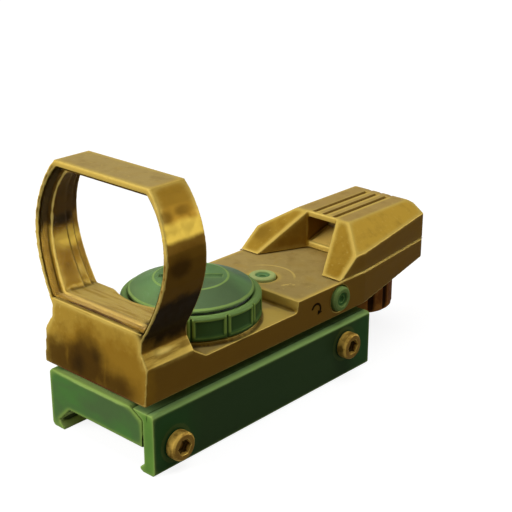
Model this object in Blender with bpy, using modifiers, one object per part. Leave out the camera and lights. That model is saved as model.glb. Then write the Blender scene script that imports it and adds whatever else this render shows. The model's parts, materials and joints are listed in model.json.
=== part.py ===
"""Open red dot finder on a rail clamp, modelled piece by piece in metres with +Z up.

+Y runs from the hood with its reflector lens to the emitter housing, and +X points to the clamp
screws. The origin is the middle of the seat that lies on the rail.
"""
import math

import bmesh
import bpy
from mathutils import Matrix
from mathutils import Vector

MM = 0.001
GAP = 0.25 * MM

# Rail clamp
BASE_HALF_LENGTH = 27.8 * MM
BASE_LEFT_X = -12.6 * MM
BASE_TOP_Z = 6.9 * MM
SHOULDER_X = (7.6 * MM, 10.55 * MM)
SHOULDER_FOOT_Z = 5.2 * MM
BASE_BOTTOM_Z = -4.0 * MM
CHANNEL_ROOF_Z = 0.4 * MM
RAIL_TOP_HALF = 7.8 * MM
RAIL_HALF = 10.8 * MM
JAW_TIP_HALF = 9.5 * MM
SEAT_HALF_WIDTH = 7.2 * MM
SEAT_HALF_LENGTH = 12.5 * MM
PEDESTAL_HALF_WIDTH = 7.0 * MM
PEDESTAL_HALF_LENGTH = 22.0 * MM
PLATE_OUTER_X = 13.2 * MM
PLATE_GROOVE_X = (10.75 * MM, 11.1 * MM)
PLATE_GROOVE_DEPTH = 0.3 * MM
CLAMP_SCREW_PLACES = {"front": (-23.0 * MM, 0.35 * MM), "rear": (20.3 * MM, 2.7 * MM)}
CLAMP_SHANK_ENDS = {"front": -11.3 * MM, "rear": -2.0 * MM}
CLAMP_HEAD_RADIUS = 2.5 * MM
CLAMP_HEAD_END_X = 15.3 * MM
CLAMP_SHANK_RADIUS = 1.4 * MM
BASE_SCREW_X = 5.6 * MM
BASE_SCREW_Y = {"front": -19.0 * MM, "rear": 16.0 * MM}

# Main casting
BODY_HALF_WIDTH = 12.4 * MM
BODY_BOTTOM_Z = 8.5 * MM
BODY_FRONT_Y = -28.6 * MM
FRONT_LEAN = math.atan(0.10)
DECK_Z = 14.85 * MM
DECK_FRONT_Y = 8.0 * MM
FLOOR_Z = 12.85 * MM
FLOOR_FRONT_Y = -14.9 * MM
SHOULDER_BACK_Y = -18.0 * MM
TAIL_Y = 48.9 * MM
TAIL_HALF_WIDTH = 9.95 * MM
TAIL_BOTTOM_Z = 10.95 * MM
TAPER_START_Y = 27.0 * MM
RAMP_START_Y = 27.5 * MM

# Hood
HOOD_TOP_Z = 43.2 * MM
HOOD_FLAT_HALF = 11.2 * MM
HOOD_BULGE_HALF = 15.75 * MM
HOOD_BULGE_Z = 32.2 * MM
HOOD_WAIST_HALF = 10.9 * MM
HOOD_WAIST_Z = 18.9 * MM
HOOD_FLARE_Z = 17.0 * MM
HOOD_SHOULDER_HALF = 12.3 * MM
HOOD_BACK_Y = -17.7 * MM
SILL_Z = 19.05 * MM
RABBET_SILL_Z = 18.45 * MM
RABBET_DEPTH = 2.2 * MM
RIM_WALL = 0.8 * MM
LEDGE_WALL = 1.9 * MM
BAND_WALL = 1.4 * MM
BAND_FRONT_Y = -21.0 * MM
BACK_BAND_FRONT_Y = -19.2 * MM
LENS_THICKNESS = 1.6 * MM

# Emitter housing
COVER_BOTTOM_Z = DECK_Z + GAP
COVER_SIDE_Z = 18.6 * MM
ROOF_Z = 22.5 * MM
ROOF_HALF = 6.5 * MM
CHEEK_FRONT_Y = 19.2 * MM
ROOF_FRONT_Y = 29.2 * MM
CHANNEL_FRONT_HALF = 8.2 * MM
CHANNEL_BACK_HALF = 3.55 * MM
MOUTH_SILL_Z = 16.3 * MM
MOUTH_TOP_Z = 21.4 * MM
TUNNEL_END_Y = 35.6 * MM
ROOF_GROOVE_PITCH = 2.45 * MM
ROOF_GROOVE_WIDTH = 0.55 * MM
HEAD_SPACE_HALF = 7.0 * MM
HEAD_SPACE_Y = (36.6 * MM, 47.4 * MM)
HEAD_SPACE_TOP_Z = 21.3 * MM
COVER_SCREW_X = 8.9 * MM
COVER_SCREW_Y = 33.0 * MM

# Brightness knob with its battery
KNOB_Y = -6.0 * MM
KNOB_RADIUS = 12.15 * MM
KNOB_BOTTOM_Z = 13.75 * MM
KNOB_TOP_Z = 18.0 * MM
CUP_RADIUS = 10.95 * MM
CUP_BOTTOM_Z = 11.9 * MM
CUP_FLOOR_Z = 12.5 * MM
CUP_BORE = 10.25 * MM
HUB_RADIUS = 4.3 * MM
HUB_BOTTOM_Z = 8.6 * MM
CLIP_GROOVE_RADIUS = 3.6 * MM
CLIP_Z = (8.75 * MM, 9.05 * MM)
GRIP_PANELS = 12
GRIP_PANEL_WIDTH = 5.0 * MM
GRIP_PANEL_Z = (14.3 * MM, 17.2 * MM)
GRIP_DEPTH = 0.35 * MM
GRIP_SLOT_WIDTH = 0.4 * MM
POCKET_RADIUS = 11.2 * MM
POCKET_FLOOR_Z = 10.0 * MM
KNOB_SEAT_RADIUS = 11.85 * MM
KNOB_SEAT_Z = 13.45 * MM
CAP_RADIUS = 10.85 * MM
CAP_RIM_Z = 18.9 * MM
CAP_CROWN_Z = 20.65 * MM
CAP_CROWN_RADIUS = 6.4 * MM
CAP_FLANGE_Z = 18.25 * MM
CAP_SPIGOT_RADIUS = 9.95 * MM
CAP_SPIGOT_Z = 16.6 * MM
COIN_SLOT = (10.8 * MM, 1.6 * MM, 0.5 * MM)
COIN_SLOT_TURN = math.radians(42.5)
CELL_RADIUS = 10.0 * MM
CELL_Z = (13.1 * MM, 16.3 * MM)

# Aiming adjusters and the tilting emitter arm
ELEVATION_Y = 12.25 * MM
ELEVATION_RADIUS = 2.5 * MM
DISH_RADIUS = 1.3 * MM
DISH_DEPTH = 0.3 * MM
DRIVE_RADIUS = 0.7 * MM
WINDAGE_Y = 19.6 * MM
WINDAGE_Z = 11.8 * MM
WINDAGE_RADIUS = 2.35 * MM
PIVOT_Y = 28.0 * MM
PIVOT_Z = 11.7 * MM
ARM_HALF_WIDTH = 1.7 * MM
ARM_Z = (11.0 * MM, 12.4 * MM)
ARM_NOSE_Y = 10.2 * MM
ARM_SPACE_HALF = 3.3 * MM
ARM_SPACE_TOP_Z = 13.4 * MM
ARM_SPACE_Y = (8.8 * MM, 26.4 * MM)
SELECTOR_Y = 41.5 * MM
SELECTOR_RADIUS = 6.8 * MM
SELECTOR_Z = (0.65 * MM, 8.5 * MM)
SELECTOR_FLUTES = 12
NECK_RADIUS = 2.4 * MM
DRUM_RADIUS = 3.4 * MM
DRUM_Z = (14.1 * MM, 19.0 * MM)
BEAM_Z = 17.4 * MM

# Finishes: colour, roughness, metallic
GOLD_PAINT = ((0.42, 0.27, 0.05), 0.45, 0.55)
GREEN_PAINT = ((0.07, 0.16, 0.04), 0.50, 0.25)
DARK_GREEN = ((0.04, 0.11, 0.05), 0.45, 0.25)
BRASS = ((0.55, 0.36, 0.08), 0.35, 0.90)
RED_BROWN = ((0.16, 0.06, 0.02), 0.45, 0.30)
STEEL = ((0.55, 0.55, 0.55), 0.30, 1.00)
BLACK_RUBBER = ((0.02, 0.02, 0.02), 0.80, 0.00)
CLEAR_GLASS = ((0.90, 0.95, 0.95), 0.05, 0.00)
CIRCUIT_GREEN = ((0.02, 0.20, 0.06), 0.50, 0.00)
BLACK_PLASTIC = ((0.03, 0.03, 0.03), 0.50, 0.00)
RED_LED = ((0.60, 0.03, 0.02), 0.20, 0.00)


# Scene helpers

def clear_scene():
    for thing in list(bpy.data.objects):
        bpy.data.objects.remove(thing, do_unlink=True)


def new_collection(name):
    collection = bpy.data.collections.new(name)
    bpy.context.scene.collection.children.link(collection)
    return collection


def keep(thing, finish):
    """Put an object among the parts, with its own material."""
    for owner in list(thing.users_collection):
        owner.objects.unlink(thing)
    PARTS.objects.link(thing)
    thing.hide_render = False
    thing.display_type = "TEXTURED"
    colour, roughness, metallic = finish
    material = bpy.data.materials.new(thing.name)
    material.use_nodes = True
    shader = material.node_tree.nodes["Principled BSDF"]
    shader.inputs["Base Color"].default_value = (*colour, 1.0)
    shader.inputs["Roughness"].default_value = roughness
    shader.inputs["Metallic"].default_value = metallic
    thing.data.materials.clear()
    thing.data.materials.append(material)
    return thing


def as_cutter(name, mesh):
    """A wire-drawn helper object that only shapes other objects."""
    thing = bpy.data.objects.new(name, mesh)
    CUTTERS.objects.link(thing)
    thing.hide_render = True
    thing.display_type = "WIRE"
    return thing


def mesh_from(name, build):
    mesh = bpy.data.meshes.new(name)
    shape = bmesh.new()
    build(shape)
    shape.to_mesh(mesh)
    shape.free()
    return mesh


# Shape helpers: each gives a helper object, which keep() turns into a part

def box(name, x, y, z):
    """A block between two X, two Y and two Z values."""
    spans = (x, y, z)
    size = Vector([span[1] - span[0] for span in spans])
    middle = Vector([(span[0] + span[1]) / 2 for span in spans])
    place = Matrix.Translation(middle) @ Matrix.Diagonal((*size, 1.0))

    def build(shape):
        bmesh.ops.create_cube(shape, size=1.0, matrix=place)

    return as_cutter(name, mesh_from(name, build))


def along(axis, place):
    """A matrix that stands local Z along X or Y, or leaves it along Z, at a place."""
    quarter = math.pi / 2
    turns = {"X": Matrix.Rotation(quarter, 4, "Y"), "Y": Matrix.Rotation(-quarter, 4, "X"), "Z": Matrix()}
    return Matrix.Translation(Vector(place)) @ turns[axis]


def rod(name, radius, start, length, axis="Z", sides=32):
    """A cylinder from a start point, running in the positive direction of an axis."""
    middle = Matrix.Translation((0.0, 0.0, length / 2))
    place = along(axis, start) @ middle

    def build(shape):
        bmesh.ops.create_cone(shape, cap_ends=True, segments=sides, radius1=radius, radius2=radius,
                              depth=length, matrix=place)

    return as_cutter(name, mesh_from(name, build))


def turned(name, profile, place, axis="Z", sides=48, closed=False):
    """A profile of (radius, height) points, outer side from top to bottom, spun round its axis."""
    mesh = bpy.data.meshes.new(name)
    points = [(radius, 0.0, height) for radius, height in profile]
    edges = [(index, index + 1) for index in range(len(points) - 1)]
    if closed:
        edges.append((len(points) - 1, 0))
    mesh.from_pydata(points, edges, [])
    thing = as_cutter(name, mesh)
    thing.matrix_world = along(axis, place)
    spin = thing.modifiers.new("spin", "SCREW")
    spin.steps = sides
    spin.render_steps = sides
    spin.use_merge_vertices = True
    spin.merge_threshold = 0.000001
    return thing


def slab(name, outline, span, plane):
    """A flat outline extruded between two values along the axis square to its plane."""
    curve = bpy.data.curves.new(name, "CURVE")
    curve.dimensions = "2D"
    curve.fill_mode = "BOTH"
    curve.extrude = (span[1] - span[0]) / 2
    spline = curve.splines.new("POLY")
    spline.points.add(len(outline) - 1)
    for point, (first, second) in zip(spline.points, outline):
        point.co = (first, second, 0.0, 1.0)
    spline.use_cyclic_u = True
    drawn = bpy.data.objects.new(name + "_curve", curve)
    bpy.context.scene.collection.objects.link(drawn)
    middle = (span[0] + span[1]) / 2
    stand = {
        "XY": Matrix.Translation((0.0, 0.0, middle)),
        "XZ": Matrix.Translation((0.0, middle, 0.0)) @ Matrix.Rotation(math.pi / 2, 4, "X"),
        "YZ": Matrix.Translation((middle, 0.0, 0.0)) @ Matrix.Rotation(math.pi / 2, 4, "Z")
              @ Matrix.Rotation(math.pi / 2, 4, "X"),
    }
    graph = bpy.context.evaluated_depsgraph_get()
    mesh = bpy.data.meshes.new_from_object(drawn.evaluated_get(graph))
    mesh.name = name
    bpy.data.objects.remove(drawn, do_unlink=True)
    shape = bmesh.new()
    shape.from_mesh(mesh)
    bmesh.ops.remove_doubles(shape, verts=shape.verts, dist=0.000001)
    bmesh.ops.recalc_face_normals(shape, faces=shape.faces)
    shape.transform(stand[plane])
    shape.to_mesh(mesh)
    shape.free()
    return as_cutter(name, mesh)


def wire_coil(name, radius, wire, pitch, turns, foot, axis="Z"):
    """A helical spring as one bevelled curve, made a mesh; prints its least gap between turns."""
    per_turn = 10
    curve = bpy.data.curves.new(name, "CURVE")
    curve.dimensions = "3D"
    curve.bevel_depth = wire
    curve.bevel_resolution = 1
    curve.use_fill_caps = True
    spline = curve.splines.new("POLY")
    count = int(per_turn * turns) + 1
    spline.points.add(count - 1)
    path = []
    for index, point in enumerate(spline.points):
        angle = 2 * math.pi * index / per_turn
        height = wire + pitch * index / per_turn
        spot = Vector((radius * math.cos(angle), radius * math.sin(angle), height))
        point.co = (*spot, 1.0)
        path.append(spot)
    spaced = [(path[a] - path[b]).length for a in range(count) for b in range(a + per_turn // 2, count)]
    print(f"{name}: least gap between turns {(min(spaced) - 2 * wire) / MM:.2f} mm")
    drawn = bpy.data.objects.new(name + "_curve", curve)
    bpy.context.scene.collection.objects.link(drawn)
    graph = bpy.context.evaluated_depsgraph_get()
    mesh = bpy.data.meshes.new_from_object(drawn.evaluated_get(graph))
    mesh.name = name
    bpy.data.objects.remove(drawn, do_unlink=True)
    shape = bmesh.new()
    shape.from_mesh(mesh)
    bmesh.ops.remove_doubles(shape, verts=shape.verts, dist=0.000001)
    bmesh.ops.recalc_face_normals(shape, faces=shape.faces)
    shape.transform(along(axis, foot))
    shape.to_mesh(mesh)
    shape.free()
    return as_cutter(name, mesh)


def combine(target, helper, operation):
    step = target.modifiers.new(helper.name, "BOOLEAN")
    step.operation = operation
    step.solver = "EXACT"
    step.object = helper
    return target


def cut(target, *helpers):
    for helper in helpers:
        combine(target, helper, "DIFFERENCE")
    return target


def join(target, *helpers):
    for helper in helpers:
        combine(target, helper, "UNION")
    return target


def ring_of(name, count, first_angle, make_one, centre):
    """One helper holding copies of a block spaced evenly round a vertical axis."""
    def build(shape):
        for index in range(count):
            angle = first_angle + 2 * math.pi * index / count
            spin = Matrix.Translation(centre) @ Matrix.Rotation(angle, 4, "Z")
            make_one(shape, spin)

    return as_cutter(name, mesh_from(name, build))


def hang_on_axis(name, place, *things):
    """Parent pieces to an empty that stands on their joint's axis."""
    empty = bpy.data.objects.new(name, None)
    PARTS.objects.link(empty)
    empty.location = place
    bpy.context.view_layer.update()
    for thing in things:
        thing.parent = empty
        thing.matrix_parent_inverse = empty.matrix_world.inverted()
    return empty


# Hood outline

def bezier(start, first_handle, second_handle, end, count):
    points = []
    for index in range(count):
        t = index / count
        weights = ((1 - t) ** 3, 3 * t * (1 - t) ** 2, 3 * t ** 2 * (1 - t), t ** 3)
        corners = (start, first_handle, second_handle, end)
        points.append(tuple(sum(w * c[axis] for w, c in zip(weights, corners)) for axis in (0, 1)))
    return points


def hood_side(wall, foot_half, foot_z):
    """Right-hand edge from the top flat's corner over the bulge to the foot, moved in by a wall."""
    corner = (HOOD_FLAT_HALF - 0.6 * wall, HOOD_TOP_Z - wall)
    bulge = (HOOD_BULGE_HALF - wall, HOOD_BULGE_Z)
    foot = (foot_half, foot_z)
    below_corner = (corner[0] + 2.7 * MM, corner[1] - 2.6 * MM)
    above_bulge = (bulge[0], bulge[1] + 3.8 * MM)
    below_bulge = (bulge[0], bulge[1] - 4.6 * MM)
    above_foot = (foot[0] + 2.7 * MM, foot[1] + 4.4 * MM)
    upper = bezier(corner, below_corner, above_bulge, bulge, 7)
    lower = bezier(bulge, below_bulge, above_foot, foot, 7)
    return upper + lower + [foot]


def mirrored(side):
    return side + [(-x, z) for x, z in reversed(side)]


def hood_opening(wall, sill_z):
    return mirrored(hood_side(wall, HOOD_WAIST_HALF - wall, sill_z))


def lean_with_front(thing):
    """Tip an upright helper back about the casting's front bottom edge, as the front face leans."""
    pivot = Vector((0.0, BODY_FRONT_Y, BODY_BOTTOM_Z))
    tip = Matrix.Rotation(-FRONT_LEAN, 4, "X")
    thing.matrix_world = Matrix.Translation(pivot) @ tip @ Matrix.Translation(-pivot)
    return thing


# Main casting with its hood, deck and tail

def tail_tapers():
    """The two wedges that narrow the tail in plan."""
    reach = 5 * MM
    run = TAIL_Y - TAPER_START_Y
    past = BODY_HALF_WIDTH - (BODY_HALF_WIDTH - TAIL_HALF_WIDTH) * (run + reach) / run
    wedge = [(BODY_HALF_WIDTH, TAPER_START_Y), (BODY_HALF_WIDTH + reach, TAPER_START_Y),
             (BODY_HALF_WIDTH + reach, TAIL_Y + reach), (past, TAIL_Y + reach)]
    heights = (0.0, ROOF_Z + reach)
    right = slab("taper_right", wedge, heights, "XY")
    left = slab("taper_left", [(-x, y) for x, y in reversed(wedge)], heights, "XY")
    return right, left


def make_main_body(tapers):
    before_front = BODY_FRONT_Y - 3 * MM
    profile = [(before_front, BODY_BOTTOM_Z), (RAMP_START_Y, BODY_BOTTOM_Z), (TAIL_Y, TAIL_BOTTOM_Z),
               (TAIL_Y, DECK_Z), (DECK_FRONT_Y, DECK_Z), (DECK_FRONT_Y - 0.4 * MM, FLOOR_Z),
               (FLOOR_FRONT_Y, FLOOR_Z), (SHOULDER_BACK_Y, DECK_Z), (before_front, DECK_Z)]
    body = slab("main_body", profile, (-BODY_HALF_WIDTH, BODY_HALF_WIDTH), "YZ")
    hood_edge = hood_side(0.0, HOOD_WAIST_HALF, HOOD_WAIST_Z)
    hood_edge += [(HOOD_WAIST_HALF, HOOD_FLARE_Z), (HOOD_SHOULDER_HALF, DECK_Z + 0.05 * MM),
                  (HOOD_SHOULDER_HALF, FLOOR_Z)]
    join(body, slab("hood_block", mirrored(hood_edge), (before_front, HOOD_BACK_Y), "XZ"))
    join(body, turned("knob_seat", [(0.0, KNOB_SEAT_Z), (KNOB_SEAT_RADIUS, KNOB_SEAT_Z),
                                    (KNOB_SEAT_RADIUS, POCKET_FLOOR_Z), (0.0, POCKET_FLOOR_Z)],
                      (0.0, KNOB_Y, 0.0)))
    front_waste = box("front_waste", (-20 * MM, 20 * MM), (BODY_FRONT_Y - 9 * MM, BODY_FRONT_Y),
                      (0.0, HOOD_TOP_Z + 9 * MM))
    cut(body, lean_with_front(front_waste), *tapers)
    cut_hood(body)
    cut_knob_pocket(body)
    cut_arm_space(body)
    cut_body_holes(body)
    return keep(body, GOLD_PAINT)


def cut_hood(body):
    """The window, its stepped inner bands, and the rabbet in front that holds the lens."""
    behind = HOOD_BACK_Y + 4 * MM
    window = slab("hood_window", hood_opening(LEDGE_WALL, SILL_Z), (BODY_FRONT_Y - 4 * MM, behind), "XZ")
    band = slab("hood_band", hood_opening(BAND_WALL, SILL_Z + 0.02 * MM), (BAND_FRONT_Y, behind), "XZ")
    back_band = slab("hood_back_band", hood_opening(RIM_WALL, SILL_Z + 0.04 * MM),
                     (BACK_BAND_FRONT_Y, behind), "XZ")
    rabbet = slab("lens_rabbet", hood_opening(RIM_WALL, RABBET_SILL_Z),
                  (BODY_FRONT_Y - 4 * MM, BODY_FRONT_Y + RABBET_DEPTH), "XZ")
    cut(body, window, band, back_band, lean_with_front(rabbet))


def cut_knob_pocket(body):
    """The round well that takes the knob's cup, and the bore and seat of its hub and clip."""
    centre = (0.0, KNOB_Y)
    cut(body,
        rod("knob_well", KNOB_RADIUS + 0.35 * MM, (*centre, KNOB_SEAT_Z + 0.05 * MM), 8 * MM, sides=48),
        rod("knob_pocket", POCKET_RADIUS, (*centre, POCKET_FLOOR_Z), 9 * MM, sides=48),
        rod("hub_bore", HUB_RADIUS + GAP, (*centre, 5 * MM), 9 * MM),
        rod("clip_seat", HUB_RADIUS + 1.6 * MM, (*centre, 5 * MM), 4.3 * MM))
    detent_y = KNOB_Y + POCKET_RADIUS - 1 * MM
    cut(body, rod("detent_hole", 0.75 * MM, (0.0, detent_y, 11.6 * MM), 4.0 * MM, axis="Y", sides=16))


def cut_arm_space(body):
    """The space under the deck in which the emitter arm tilts, open to the head space behind."""
    width = (-ARM_SPACE_HALF, ARM_SPACE_HALF)
    ledge = (-ARM_SPACE_HALF - 1.0 * MM, ARM_SPACE_HALF + 1.0 * MM)
    lid_y = (ARM_SPACE_Y[0] - 1.0 * MM, ARM_SPACE_Y[1] + 0.8 * MM)
    cut(body,
        box("arm_space", width, ARM_SPACE_Y, (5 * MM, ARM_SPACE_TOP_Z)),
        box("lid_recess", ledge, lid_y, (5 * MM, BODY_BOTTOM_Z + 1.1 * MM)),
        box("arm_slot", width, (ARM_SPACE_Y[1] - 1 * MM, 38 * MM), (10.45 * MM, ARM_SPACE_TOP_Z)),
        box("slot_mouth", width, (30.0 * MM, 38 * MM), (11 * MM, 20 * MM)),
        box("head_space", (-HEAD_SPACE_HALF, HEAD_SPACE_HALF), HEAD_SPACE_Y, (11.9 * MM, 20 * MM)),
        rod("selector_hole", NECK_RADIUS + 1.0 * MM, (0.0, SELECTOR_Y, 5 * MM), 9 * MM),
        rod("yoke_hole", 1.2 * MM, (0.0, PIVOT_Y, 9.3 * MM), 3 * MM, sides=20))


def cut_body_holes(body):
    """Seats of the two adjusters and the holes of the screws that hold base and cover."""
    seat_depth = 0.7 * MM
    bore = 1.1 * MM
    wall_seat = (BODY_HALF_WIDTH - seat_depth, WINDAGE_Y, WINDAGE_Z)
    wall_bore = (ARM_SPACE_HALF - 1 * MM, WINDAGE_Y, WINDAGE_Z)
    cut(body,
        rod("elevation_seat", ELEVATION_RADIUS + GAP, (0.0, ELEVATION_Y, DECK_Z - seat_depth), 3 * MM),
        rod("elevation_hole", bore, (0.0, ELEVATION_Y, ARM_SPACE_TOP_Z - 1 * MM), 4 * MM, sides=16),
        rod("windage_seat", WINDAGE_RADIUS + GAP, wall_seat, 3 * MM, axis="X"),
        rod("windage_hole", bore, wall_bore, 12 * MM, axis="X", sides=16))
    for row, y in BASE_SCREW_Y.items():
        for side, x in (("left", -BASE_SCREW_X), ("right", BASE_SCREW_X)):
            cut(body, rod(f"body_hole_{row}_{side}", 1.25 * MM, (x, y, 5 * MM), 6.3 * MM, sides=16))
    for side, x in (("left", -COVER_SCREW_X), ("right", COVER_SCREW_X)):
        cut(body,
            rod(f"cover_bore_{side}", 1.25 * MM, (x, COVER_SCREW_Y, 5 * MM), 12 * MM, sides=16),
            rod(f"cover_head_seat_{side}", 2.1 * MM, (x, COVER_SCREW_Y, 5 * MM), 6.2 * MM, sides=20))


def make_reflector_lens():
    clear = RIM_WALL + GAP
    outline = hood_opening(clear, RABBET_SILL_Z + GAP)
    back = BODY_FRONT_Y + RABBET_DEPTH - GAP
    lens = lean_with_front(slab("reflector_lens", outline, (back - LENS_THICKNESS, back), "XZ"))
    return keep(lens, CLEAR_GLASS)


# Emitter housing

def make_emitter_cover(tapers):
    section = [(BODY_HALF_WIDTH, COVER_BOTTOM_Z), (BODY_HALF_WIDTH, COVER_SIDE_Z), (ROOF_HALF, ROOF_Z)]
    cover = slab("emitter_cover", mirrored(section), (CHEEK_FRONT_Y - 2 * MM, TAIL_Y), "XZ")
    rise = (ROOF_Z - DECK_Z) / (ROOF_FRONT_Y - CHEEK_FRONT_Y)
    past = 4 * MM
    slope = [(CHEEK_FRONT_Y - past, DECK_Z - past * rise), (ROOF_FRONT_Y + past, ROOF_Z + past * rise),
             (CHEEK_FRONT_Y - past, ROOF_Z + past * rise)]
    splay = (CHANNEL_FRONT_HALF - CHANNEL_BACK_HALF) / (ROOF_FRONT_Y - CHEEK_FRONT_Y)
    ahead = 3 * MM
    channel = mirrored([(CHANNEL_FRONT_HALF + splay * ahead, CHEEK_FRONT_Y - ahead),
                        (CHANNEL_BACK_HALF, ROOF_FRONT_Y + 0.1 * MM)])
    tunnel = [(ROOF_FRONT_Y - 1 * MM, MOUTH_SILL_Z), (ROOF_FRONT_Y + 0.7 * MM, MOUTH_SILL_Z),
              (TUNNEL_END_Y, MOUTH_SILL_Z + 1.7 * MM), (TUNNEL_END_Y, MOUTH_TOP_Z),
              (ROOF_FRONT_Y - 1 * MM, MOUTH_TOP_Z)]
    chamfer = [(TAIL_Y - 0.9 * MM, ROOF_Z), (TAIL_Y, ROOF_Z - 0.7 * MM), (TAIL_Y + past, ROOF_Z - 0.7 * MM),
               (TAIL_Y + past, ROOF_Z + past), (TAIL_Y - 0.9 * MM, ROOF_Z + past)]
    mouth_half = CHANNEL_BACK_HALF - 0.05 * MM
    hollow_half = (-HEAD_SPACE_HALF, HEAD_SPACE_HALF)
    cut(cover, *tapers,
        slab("front_slope", slope, (-20 * MM, 20 * MM), "YZ"),
        slab("tail_chamfer", chamfer, (-20 * MM, 20 * MM), "YZ"),
        slab("cheek_channel", channel, (10 * MM, 30 * MM), "XY"),
        slab("mouth_tunnel", tunnel, (-mouth_half, mouth_half), "YZ"),
        box("window_seat", (-3.9 * MM, 3.9 * MM), (TUNNEL_END_Y - 0.2 * MM, HEAD_SPACE_Y[0] + 0.2 * MM),
            (17.4 * MM, 21.5 * MM)),
        box("cover_hollow", hollow_half, HEAD_SPACE_Y, (10 * MM, HEAD_SPACE_TOP_Z)))
    groove_y = (ROOF_FRONT_Y + 0.8 * MM, TAIL_Y - 0.6 * MM)
    groove_z = (ROOF_Z - 0.4 * MM, ROOF_Z + 1 * MM)
    for index in (-1, 0, 1):
        left = index * ROOF_GROOVE_PITCH - ROOF_GROOVE_WIDTH / 2
        cut(cover, box(f"roof_groove_{index + 2}", (left, left + ROOF_GROOVE_WIDTH), groove_y, groove_z))
    for side, x in (("left", -COVER_SCREW_X), ("right", COVER_SCREW_X)):
        cut(cover, rod(f"cover_thread_{side}", 1.25 * MM, (x, COVER_SCREW_Y, 10 * MM), 8.4 * MM, sides=16))
    return keep(cover, GOLD_PAINT)


def make_emitter_window():
    front = TUNNEL_END_Y + 0.1 * MM
    height = (17.65 * MM, 21.2 * MM)
    window = box("emitter_window", (-3.6 * MM, 3.6 * MM), (front, front + 0.8 * MM), height)
    return keep(window, CLEAR_GLASS)


def make_cover_screw(side, x):
    """A pan head screw, driven up from under the tail."""
    head = 1.7 * MM
    shank = 1.0 * MM
    profile = [(0.0, 18.0 * MM), (shank, 18.0 * MM), (shank, 10.9 * MM), (head, 10.9 * MM),
               (head, 9.8 * MM), (0.6 * head, 9.5 * MM), (0.0, 9.5 * MM)]
    screw = turned(f"cover_screw_{side}", profile, (x, COVER_SCREW_Y, 0.0), sides=16)
    cut(screw, box(f"cover_drive_{side}_a", (x - 1.1 * MM, x + 1.1 * MM),
                   (COVER_SCREW_Y - 0.2 * MM, COVER_SCREW_Y + 0.2 * MM), (9 * MM, 10.1 * MM)))
    cut(screw, box(f"cover_drive_{side}_b", (x - 0.2 * MM, x + 0.2 * MM),
                   (COVER_SCREW_Y - 1.1 * MM, COVER_SCREW_Y + 1.1 * MM), (9 * MM, 10.1 * MM)))
    return keep(screw, STEEL)


# Rail clamp

def make_rail_base():
    section = [(SHOULDER_X[0], BASE_TOP_Z), (SHOULDER_X[1], SHOULDER_FOOT_Z),
               (SHOULDER_X[1], CHANNEL_ROOF_Z), (-RAIL_TOP_HALF, CHANNEL_ROOF_Z),
               (-RAIL_HALF, CHANNEL_ROOF_Z - 3.0 * MM),
               (-JAW_TIP_HALF, BASE_BOTTOM_Z), (BASE_LEFT_X + 0.5 * MM, BASE_BOTTOM_Z),
               (BASE_LEFT_X, BASE_BOTTOM_Z + 0.6 * MM), (BASE_LEFT_X, BASE_TOP_Z - 0.6 * MM),
               (BASE_LEFT_X + 0.6 * MM, BASE_TOP_Z)]
    base = slab("rail_base", section, (-BASE_HALF_LENGTH, BASE_HALF_LENGTH), "XZ")
    seat_x = (-SEAT_HALF_WIDTH, SEAT_HALF_WIDTH)
    seat_y = (-SEAT_HALF_LENGTH, SEAT_HALF_LENGTH)
    pedestal_x = (-PEDESTAL_HALF_WIDTH, PEDESTAL_HALF_WIDTH)
    pedestal_y = (-PEDESTAL_HALF_LENGTH, PEDESTAL_HALF_LENGTH)
    join(base,
         box("seat_strip", seat_x, seat_y, (0.0, 2 * MM)),
         box("pedestal", pedestal_x, pedestal_y, (4 * MM, BODY_BOTTOM_Z - GAP)))
    bore = CLAMP_SHANK_RADIUS + 0.15 * MM
    for end, (y, z) in CLAMP_SCREW_PLACES.items():
        start = (CLAMP_SHANK_ENDS[end] - GAP, y, z)
        cut(base, rod(f"clamp_thread_{end}", bore, start, 30 * MM, axis="X", sides=20))
    for row, y in BASE_SCREW_Y.items():
        for side, x in (("left", -BASE_SCREW_X), ("right", BASE_SCREW_X)):
            cut(base,
                rod(f"base_bore_{row}_{side}", 1.25 * MM, (x, y, -2 * MM), 14 * MM, sides=16),
                rod(f"base_head_seat_{row}_{side}", 2.05 * MM, (x, y, -2 * MM), 4.9 * MM, sides=20))
    return keep(base, GREEN_PAINT)


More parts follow.
